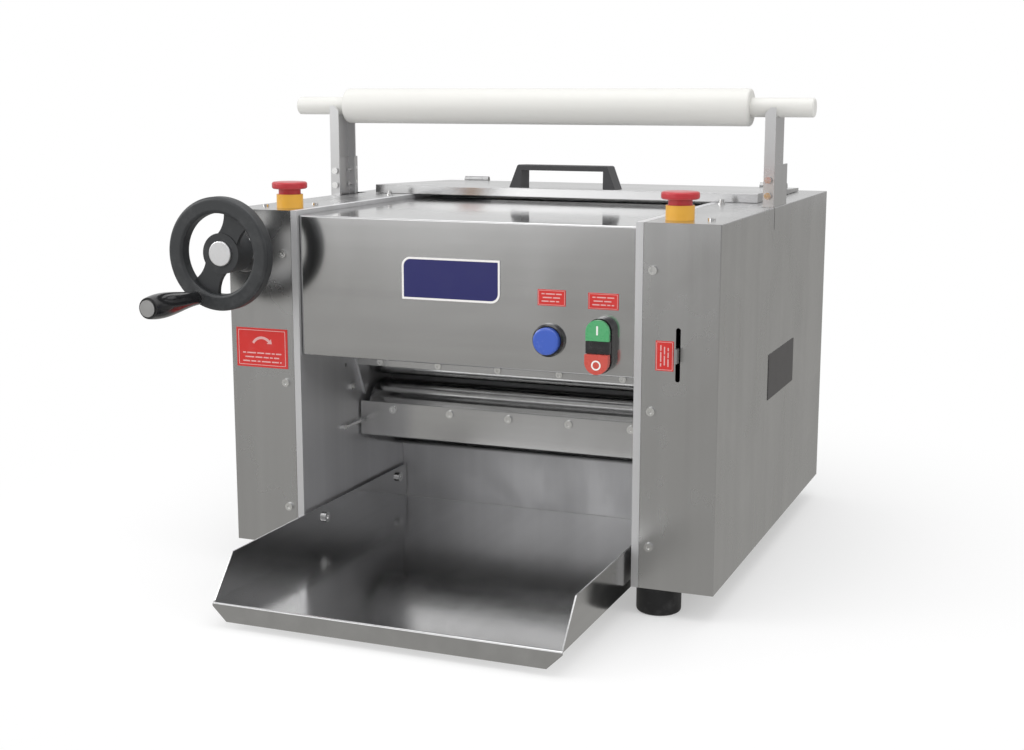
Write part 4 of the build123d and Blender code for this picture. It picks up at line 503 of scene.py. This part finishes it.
class SHEETER_OT_stage(bpy.types.Operator):
    """Make the floor, the studio light and the camera"""

    bl_idname = "sheeter.stage"
    bl_label = "Stage"

    def execute(self, context):
        settings = context.scene.sheeter_stage
        self.make_camera(context, settings)
        self.make_floor(settings)
        self.make_sky(context.scene)
        self.make_lights()
        context.scene.view_settings.view_transform = "Standard"
        return {"FINISHED"}

    def make_camera(self, context, settings):
        """The camera in front and to the right, level side to side."""
        data = bpy.data.cameras.new("camera")
        data.lens = settings.focal
        data.sensor_width = 36.0
        camera = bpy.data.objects.new("camera", data)
        camera.location = (settings.offset, -settings.distance, settings.height)
        camera.rotation_euler = (math.pi / 2 - settings.tilt, 0, settings.turn)
        context.scene.collection.objects.link(camera)
        context.scene.camera = camera

    def make_floor(self, settings):
        """A large round floor, plain white to the eye and one plain dimmer tone in reflections."""
        material, nodes, links, surface, where = blank_material("floor_paper")
        grain = place(nodes, "ShaderNodeTexNoise", {"Scale": 900.0, "Detail": 2.0})
        links.new(where.outputs["Object"], grain.inputs["Vector"])
        pale = tuple(settings.floor)
        links.new(
            tone(nodes, links, grain.outputs["Fac"], tuple(v * 0.985 for v in pale), pale),
            surface.inputs["Base Color"],
        )
        surface.inputs["Roughness"].default_value = 0.9
        surface.inputs["Specular IOR Level"].default_value = 0.1
        path = nodes.new("ShaderNodeLightPath")
        white = place(nodes, "ShaderNodeEmission", {"Color": (1, 1, 1, 1), "Strength": 1.0})
        away = place(nodes, "ShaderNodeVectorMath", operation="LENGTH")
        links.new(where.outputs["Object"], away.inputs[0])
        fade = place(
            nodes, "ShaderNodeMapRange",
            {"From Min": WHITE_FROM, "From Max": WHITE_BY, "To Min": WHITE_LEAST},
            interpolation_type="SMOOTHSTEP",
        )
        links.new(away.outputs["Value"], fade.inputs["Value"])
        seen = math_node(nodes, "MULTIPLY")
        links.new(fade.outputs["Result"], seen.inputs[0])
        links.new(path.outputs["Is Camera Ray"], seen.inputs[1])
        paper = nodes.new("ShaderNodeMixShader")
        links.new(seen.outputs[0], paper.inputs["Fac"])
        links.new(surface.outputs["BSDF"], paper.inputs[1])
        links.new(white.outputs["Emission"], paper.inputs[2])
        mirrored = place(nodes, "ShaderNodeEmission", {"Color": MIRRORED_FLOOR, "Strength": 1.0})
        mix = nodes.new("ShaderNodeMixShader")
        links.new(path.outputs["Is Glossy Ray"], mix.inputs["Fac"])
        links.new(paper.outputs["Shader"], mix.inputs[1])
        links.new(mirrored.outputs["Emission"], mix.inputs[2])
        links.new(mix.outputs["Shader"], nodes["Material Output"].inputs["Surface"])
        shape = bmesh.new()
        bmesh.ops.create_circle(shape, cap_ends=True, segments=96, radius=FLOOR_RADIUS)
        finish_mesh("floor", shape, material)

    def make_sky(self, scene):
        """White to the eye, even light on paint, and a bright back and dim front in reflections."""
        world = bpy.data.worlds.new("studio")
        world.use_nodes = True
        scene.world = world
        nodes, links = world.node_tree.nodes, world.node_tree.links
        where = nodes.new("ShaderNodeTexCoord")
        split = nodes.new("ShaderNodeSeparateXYZ")
        links.new(where.outputs["Generated"], split.inputs["Vector"])
        back = place(
            nodes, "ShaderNodeMapRange", {"From Min": -0.55, "From Max": 0.35},
            interpolation_type="SMOOTHSTEP",
        )
        links.new(split.outputs["Y"], back.inputs["Value"])
        right = place(
            nodes, "ShaderNodeMapRange", {"From Min": -0.05, "From Max": 0.25},
            interpolation_type="SMOOTHSTEP",
        )
        links.new(split.outputs["X"], right.inputs["Value"])
        behind = tone(nodes, links, right.outputs["Result"], (0.76, 0.76, 0.76), (0.42, 0.415, 0.41))
        left = place(
            nodes, "ShaderNodeMapRange", {"From Min": -0.20, "From Max": -0.42},
            interpolation_type="SMOOTHSTEP",
        )
        links.new(split.outputs["X"], left.inputs["Value"])
        ahead = tone(nodes, links, left.outputs["Result"], (0.24, 0.24, 0.25), (1.05, 1.05, 1.05))
        around = place(nodes, "ShaderNodeMix", data_type="RGBA")
        links.new(ahead, around.inputs["A"])
        links.new(back.outputs["Result"], around.inputs["Factor"])
        links.new(behind, around.inputs["B"])
        up = place(
            nodes, "ShaderNodeMapRange", {"From Min": 0.30, "From Max": 0.70},
            interpolation_type="SMOOTHSTEP",
        )
        links.new(split.outputs["Z"], up.inputs["Value"])
        ceiling = place(nodes, "ShaderNodeMix", data_type="RGBA")
        ceiling.inputs["B"].default_value = (0.80, 0.80, 0.81, 1)
        links.new(up.outputs["Result"], ceiling.inputs["Factor"])
        links.new(around.outputs["Result"], ceiling.inputs["A"])
        path = nodes.new("ShaderNodeLightPath")
        even = place(nodes, "ShaderNodeMix", data_type="RGBA")
        even.inputs["B"].default_value = (0.74, 0.74, 0.74, 1)
        links.new(path.outputs["Is Diffuse Ray"], even.inputs["Factor"])
        links.new(ceiling.outputs["Result"], even.inputs["A"])
        seen = place(nodes, "ShaderNodeMix", data_type="RGBA")
        seen.inputs["B"].default_value = (1.0, 1.0, 1.0, 1)
        links.new(path.outputs["Is Camera Ray"], seen.inputs["Factor"])
        links.new(even.outputs["Result"], seen.inputs["A"])
        links.new(seen.outputs["Result"], nodes["Background"].inputs["Color"])
        nodes["Background"].inputs["Strength"].default_value = 1.0

    def make_lights(self):
        """Large soft lights: overhead, both sides and two low ones in front."""
        for row in SOFTBOXES:
            self.softbox(*row)

    def softbox(self, name, where, target, width, height, power):
        """A rectangular light aimed at a point."""
        data = bpy.data.lights.new(name, "AREA")
        data.shape = "RECTANGLE"
        data.size, data.size_y = width, height
        data.energy = power
        light = bpy.data.objects.new(name, data)
        light.location = where
        light.rotation_euler = (Vector(target) - Vector(where)).to_track_quat("-Z", "Y").to_euler()
        bpy.context.scene.collection.objects.link(light)


class SHEETER_OT_steel(bpy.types.Operator):
    """Finish the stainless covers, hood, tray, rollers and small steel pieces"""

    bl_idname = "sheeter.steel"
    bl_label = "Steel"

    def execute(self, context):
        steel = context.scene.sheeter_steel
        tint = tuple(steel.tint)
        grain = steel.grain
        bright = tuple(min(1, v * 1.18) for v in tint)
        dim = tuple(v * 0.75 for v in tint)
        dress(
            ("side_cover_left", "side_cover_right", "rear_cover", "base_plates"),
            brushed_steel("cover_steel", tint, steel.cover_roughness, "z", grain),
        )
        dress(("hood",), hood_steel(steel))
        dress(("lid",), brushed_steel("lid_steel", tint, 0.16, "x", grain, 0.05, 0.25))
        dress(
            ("tray",),
            brushed_steel("tray_steel", tint, steel.tray_roughness, "y", grain, 0.05, 0.0, 0.2),
        )
        dress(
            ("side_plates", "side_cheeks", "inner_panels"),
            brushed_steel("plate_steel", (0.80, 0.80, 0.81), 0.52, "z", grain * 1.5, stretch=0.2),
        )
        dress(
            ("upper_scraper", "lower_scraper_holder", "lower_scraper_blade"),
            brushed_steel("scraper_steel", tint, 0.20, "x", grain, 0.05, 0.25),
        )
        dress(("uprights",), brushed_steel("upright_steel", bright, 0.28, "z", grain))
        dress(
            ("lower_roller", "upper_roller"),
            turned_steel("roller_steel", bright, steel.roller_roughness, grain),
        )
        dress(
            (
                "tie_rods", "handwheel_shaft", "cross_shaft", "motor_output", "lower_roller_wheels",
                "upper_gear",
            ),
            turned_steel("shaft_steel", tint, 0.28, grain),
        )
        dress(
            (
                "casing_screws", "frame_bolts", "lower_scraper_screws", "scraper_pivots",
                "scraper_springs",
            ),
            plain_metal("screw_steel", (0.88, 0.88, 0.87), 0.17),
        )
        dress(
            (
                "handwheel_boss", "slide_guides", "roller_carriages", "pointer_slider",
                "cross_shaft_pinions", "lid_hinge_blocks", "lid_hinge_leaves",
            ),
            plain_metal("machined_steel", dim, 0.34),
        )
        dress(("frame_bearings", "screw_nut"), plain_metal("bronze", (0.50, 0.34, 0.14), 0.36))
        dress(("handwheel_cap",), plain_metal("cap_aluminium", (0.86, 0.86, 0.87), 0.30, 900.0))
        return {"FINISHED"}


class SHEETER_OT_plastic(bpy.types.Operator):
    """Finish the plastic, painted and rubber pieces"""

    bl_idname = "sheeter.plastic"
    bl_label = "Plastic"

    def execute(self, context):
        plastic = context.scene.sheeter_plastic
        dress(("feet",), moulded("foot_rubber", tuple(plastic.rubber), 0.55, 700.0, 0.00006, 0.10))
        dress(("handwheel",), moulded("wheel_black", tuple(plastic.wheel), 0.42, 1100.0, 0.00005))
        dress(
            ("crank_grip",),
            moulded("grip_black", tuple(plastic.grip), 0.16, 600.0, 0.00001, 0.04, 0.5),
        )
        dress(("lid_handle",), moulded("handle_black", (0.045, 0.045, 0.048), 0.38, 1200.0))
        dress(
            ("pin_sleeve", "pin_shaft"),
            moulded("pin_nylon", tuple(plastic.pin), 0.40, 500.0, 0.00003, 0.05),
        )
        dress(
            ("estop_left_head", "estop_right_head"),
            moulded("stop_head_red", tuple(plastic.stop_head), 0.32, 1500.0, 0.00002, 0.04, 0.2),
        )
        dress(
            ("estop_collars",),
            moulded("stop_collar_yellow", tuple(plastic.stop_collar), 0.36, 1500.0, 0.00002, 0.04, 0.1),
        )
        dress(
            ("reset_button",),
            moulded("reset_blue", tuple(plastic.reset), 0.24, 1500.0, 0.00001, 0.03, 0.4),
        )
        dress(
            ("start_button",),
            moulded("start_green", tuple(plastic.start), 0.26, 1500.0, 0.00001, 0.03, 0.4),
        )
        dress(
            ("stop_button",),
            moulded("stop_red", tuple(plastic.stop), 0.26, 1500.0, 0.00001, 0.03, 0.4),
        )
        dress(
            ("button_bezels",),
            moulded("bezel_black", (0.015, 0.015, 0.017), 0.22, 900.0, 0.00001, 0.05, 0.4),
        )
        dress(
            ("badge",),
            moulded("badge_navy", tuple(plastic.badge), 0.30, 400.0, 0.000003, 0.004, 0.25),
        )
        dress(
            ("red_labels",),
            moulded("label_red", tuple(plastic.label), 0.28, 400.0, 0.000005, 0.04, 0.2),
        )
        dress(("side_label",), plain_metal("side_label_grey", (0.15, 0.145, 0.15), 0.42, 700.0))
        dress(
            ("cable_gland", "control_box", "contact_blocks", "estop_left_stem", "estop_right_stem"),
            moulded("housing_black", (0.020, 0.020, 0.021), 0.48),
        )
        dress(("drive_belt",), moulded("belt_rubber", (0.015, 0.015, 0.015), 0.62, 500.0, 0.00008))
        dress(
            ("gearmotor",),
            moulded("motor_paint", (0.06, 0.085, 0.12), 0.38, 260.0, 0.00012, 0.08),
        )
        return {"FINISHED"}


class SHEETER_OT_labels(bpy.types.Operator):
    """Print plain borders, bars and an arrow on the badge and labels"""

    bl_idname = "sheeter.labels"
    bl_label = "Labels"

    PRINT_DEPTH = 0.12 * MM

    def execute(self, context):
        pale = tuple(context.scene.sheeter_plastic.print)
        red = tuple(context.scene.sheeter_plastic.label)
        ink = moulded("label_print", pale, 0.45, 900.0, 0.000005, 0.10)
        self.badge_border(ink)
        washed = tuple(0.45 * a + 0.55 * b for a, b in zip(pale, red))
        faint = moulded("label_faint_print", washed, 0.45, 900.0, 0.000005, 0.1)
        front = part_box("badge")[0].y
        label_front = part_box("red_labels")[0].y
        self.small_label(faint, "reset_label_print", (0.1035, front, 0.3325), 31 * MM, 17 * MM, 3)
        self.small_label(faint, "start_label_print", (0.1605, front, 0.3315), 33 * MM, 17 * MM, 3)
        self.turn_label(faint, (-0.245, label_front, 0.2585))
        self.pointer_label(faint, (0.2285, label_front, 0.2795))
        return {"FINISHED"}

    def keep(self, shape, name, material):
        """Make a print piece that stays with the fixed body."""
        piece = finish_mesh(name, shape, material)
        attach(piece, "root")

    def badge_border(self, ink):
        """A pale outline just inside the badge's edge, with two opposite round corners."""
        low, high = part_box("badge")
        width, height = high.x - low.x, high.z - low.z
        at = front_matrix((low.x + high.x) / 2, low.y, (low.z + high.z) / 2)
        shape = bmesh.new()
        outer = rounded_outline(width, height, (10 * MM, 0.3 * MM, 10 * MM, 0.3 * MM))
        inset = 2.2 * MM
        inner = rounded_outline(
            width - 2 * inset, height - 2 * inset, (8.2 * MM, 0.5 * MM, 8.2 * MM, 0.5 * MM)
        )
        raise_ring(shape, outer, inner, at, self.PRINT_DEPTH)
        self.keep(shape, "badge_border", ink)

    def bars(self, shape, at, width, rows, pitch, thick, start):
        """Rows of short bars that stand for lines of print."""
        for row in range(rows):
            v = start - row * pitch
            cursor = -width / 2 * (1 - 0.12 * (row % 2))
            end = -cursor
            step = 0
            while cursor < end - thick:
                length = min((2.6 + 1.7 * ((step * 7 + row * 3) % 4)) * thick, end - cursor)
                outline = [
                    (cursor, v), (cursor + length, v),
                    (cursor + length, v + thick), (cursor, v + thick),
                ]
                raise_plate(shape, outline, at, self.PRINT_DEPTH)
                cursor += length + 1.1 * thick
                step += 1

    def small_label(self, ink, name, centre, width, height, rows):
        """A label's border and rows of bars above a button."""
        at = front_matrix(*centre)
        shape = bmesh.new()
        edge = 0.9 * MM
        outer = rounded_outline(width - 2 * edge, height - 2 * edge, (0.8 * MM,) * 4, 3)
        inner = rounded_outline(width - 2.9 * edge, height - 2.9 * edge, (0.5 * MM,) * 4, 3)
        raise_ring(shape, outer, inner, at, self.PRINT_DEPTH)
        self.bars(shape, at, width * 0.72, rows, 3.9 * MM, 1.3 * MM, 3.3 * MM)
        self.keep(shape, name, ink)

    def turn_label(self, ink, centre):
        """The label below the handwheel: a curved arrow over rows of bars."""
        at = front_matrix(*centre)
        shape = bmesh.new()
        outer = rounded_outline(61 * MM, 40.5 * MM, (1.2 * MM,) * 4, 3)
        inner = rounded_outline(59.6 * MM, 39.1 * MM, (0.8 * MM,) * 4, 3)
        raise_ring(shape, outer, inner, at, self.PRINT_DEPTH)
        centre_v, radius, half = -1.5 * MM, 13 * MM, 1.5 * MM
        angles = [math.radians(150 - 105 * k / 16) for k in range(17)]

        def on_arc(angle, distance):
            return math.cos(angle) * distance, centre_v + math.sin(angle) * distance

        arc = [on_arc(angle, radius + half) for angle in angles]
        arc += [on_arc(angle, radius - half) for angle in reversed(angles)]
        raise_plate(shape, arc, at, self.PRINT_DEPTH)
        tip = math.radians(26)
        foot = angles[-1]
        head = [
            on_arc(foot, radius + 4 * MM),
            on_arc(foot, radius - 4 * MM),
            on_arc(tip, radius + 1.5 * MM),
        ]
        raise_plate(shape, head, at, self.PRINT_DEPTH)
        self.bars(shape, at, 50 * MM, 3, 4.8 * MM, 1.5 * MM, -7.0 * MM)
        self.keep(shape, "turn_label_print", ink)

    def pointer_label(self, ink, centre):
        """The small label beside the pointer slot, with upright bars."""
        turned = front_matrix(*centre) @ Matrix.Rotation(math.pi / 2, 4, "Z")
        shape = bmesh.new()
        outer = rounded_outline(29 * MM, 17.2 * MM, (0.8 * MM,) * 4, 3)
        inner = rounded_outline(28 * MM, 16.2 * MM, (0.5 * MM,) * 4, 3)
        raise_ring(shape, outer, inner, turned, self.PRINT_DEPTH)
        self.bars(shape, turned, 22 * MM, 3, 3.9 * MM, 1.3 * MM, 3.3 * MM)
        self.keep(shape, "pointer_label_print", ink)


class SHEETER_OT_buttons(bpy.types.Operator):
    """Print the plain I and O symbols on the push buttons"""

    bl_idname = "sheeter.buttons"
    bl_label = "Buttons"

    def execute(self, context):
        pale = tuple(context.scene.sheeter_plastic.print)
        ink = moulded("button_print", pale, 0.40, 900.0, 0.000005, 0.05)
        low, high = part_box("start_button")
        shape = bmesh.new()
        at = front_matrix((low.x + high.x) / 2, low.y, low.z + 11 * MM)
        raise_plate(shape, rounded_outline(1.9 * MM, 9.5 * MM, (0.4 * MM,) * 4, 3), at, SYMBOL_DEPTH)
        start = finish_mesh("start_symbol", shape, ink)
        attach(start, "start_button")
        low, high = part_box("stop_button")
        shape = bmesh.new()
        at = front_matrix((low.x + high.x) / 2, low.y, high.z - 11 * MM)
        raise_ring(shape, circle_outline(5.2 * MM), circle_outline(3.6 * MM), at, SYMBOL_DEPTH)
        stop = finish_mesh("stop_symbol", shape, ink)
        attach(stop, "stop_button")
        return {"FINISHED"}


OPERATORS = (
    SHEETER_OT_stage,
    SHEETER_OT_steel,
    SHEETER_OT_plastic,
    SHEETER_OT_labels,
    SHEETER_OT_buttons,
)


class SHEETER_PT_panel(bpy.types.Panel):
    """Lists the sheeter's settings and pieces."""

    bl_idname = "SHEETER_PT_panel"
    bl_label = "Dough sheeter"
    bl_space_type = "VIEW_3D"
    bl_region_type = "UI"
    bl_category = "Sheeter"

    def draw(self, context):
        for name in SETTINGS:
            settings = getattr(context.scene, name)
            box = self.layout.box()
            for prop in settings.bl_rna.properties:
                if prop.identifier not in ("rna_type", "name"):
                    box.prop(settings, prop.identifier)
        for operator in OPERATORS:
            self.layout.operator(operator.bl_idname)


SETTINGS = {
    "sheeter_steel": SteelSettings,
    "sheeter_plastic": PlasticSettings,
    "sheeter_stage": StageSettings,
}


def register():
    for name, settings in SETTINGS.items():
        bpy.utils.register_class(settings)
        setattr(bpy.types.Scene, name, PointerProperty(type=settings))
    for operator in OPERATORS:
        bpy.utils.register_class(operator)
    bpy.utils.register_class(SHEETER_PT_panel)


def unregister():
    bpy.utils.unregister_class(SHEETER_PT_panel)
    for operator in reversed(OPERATORS):
        bpy.utils.unregister_class(operator)
    for name, settings in SETTINGS.items():
        delattr(bpy.types.Scene, name)
        bpy.utils.unregister_class(settings)


def main():
    register()
    for operator in OPERATORS:
        group, name = operator.bl_idname.split(".")
        getattr(getattr(bpy.ops, group), name)()


if __name__ == "__main__":
    main()
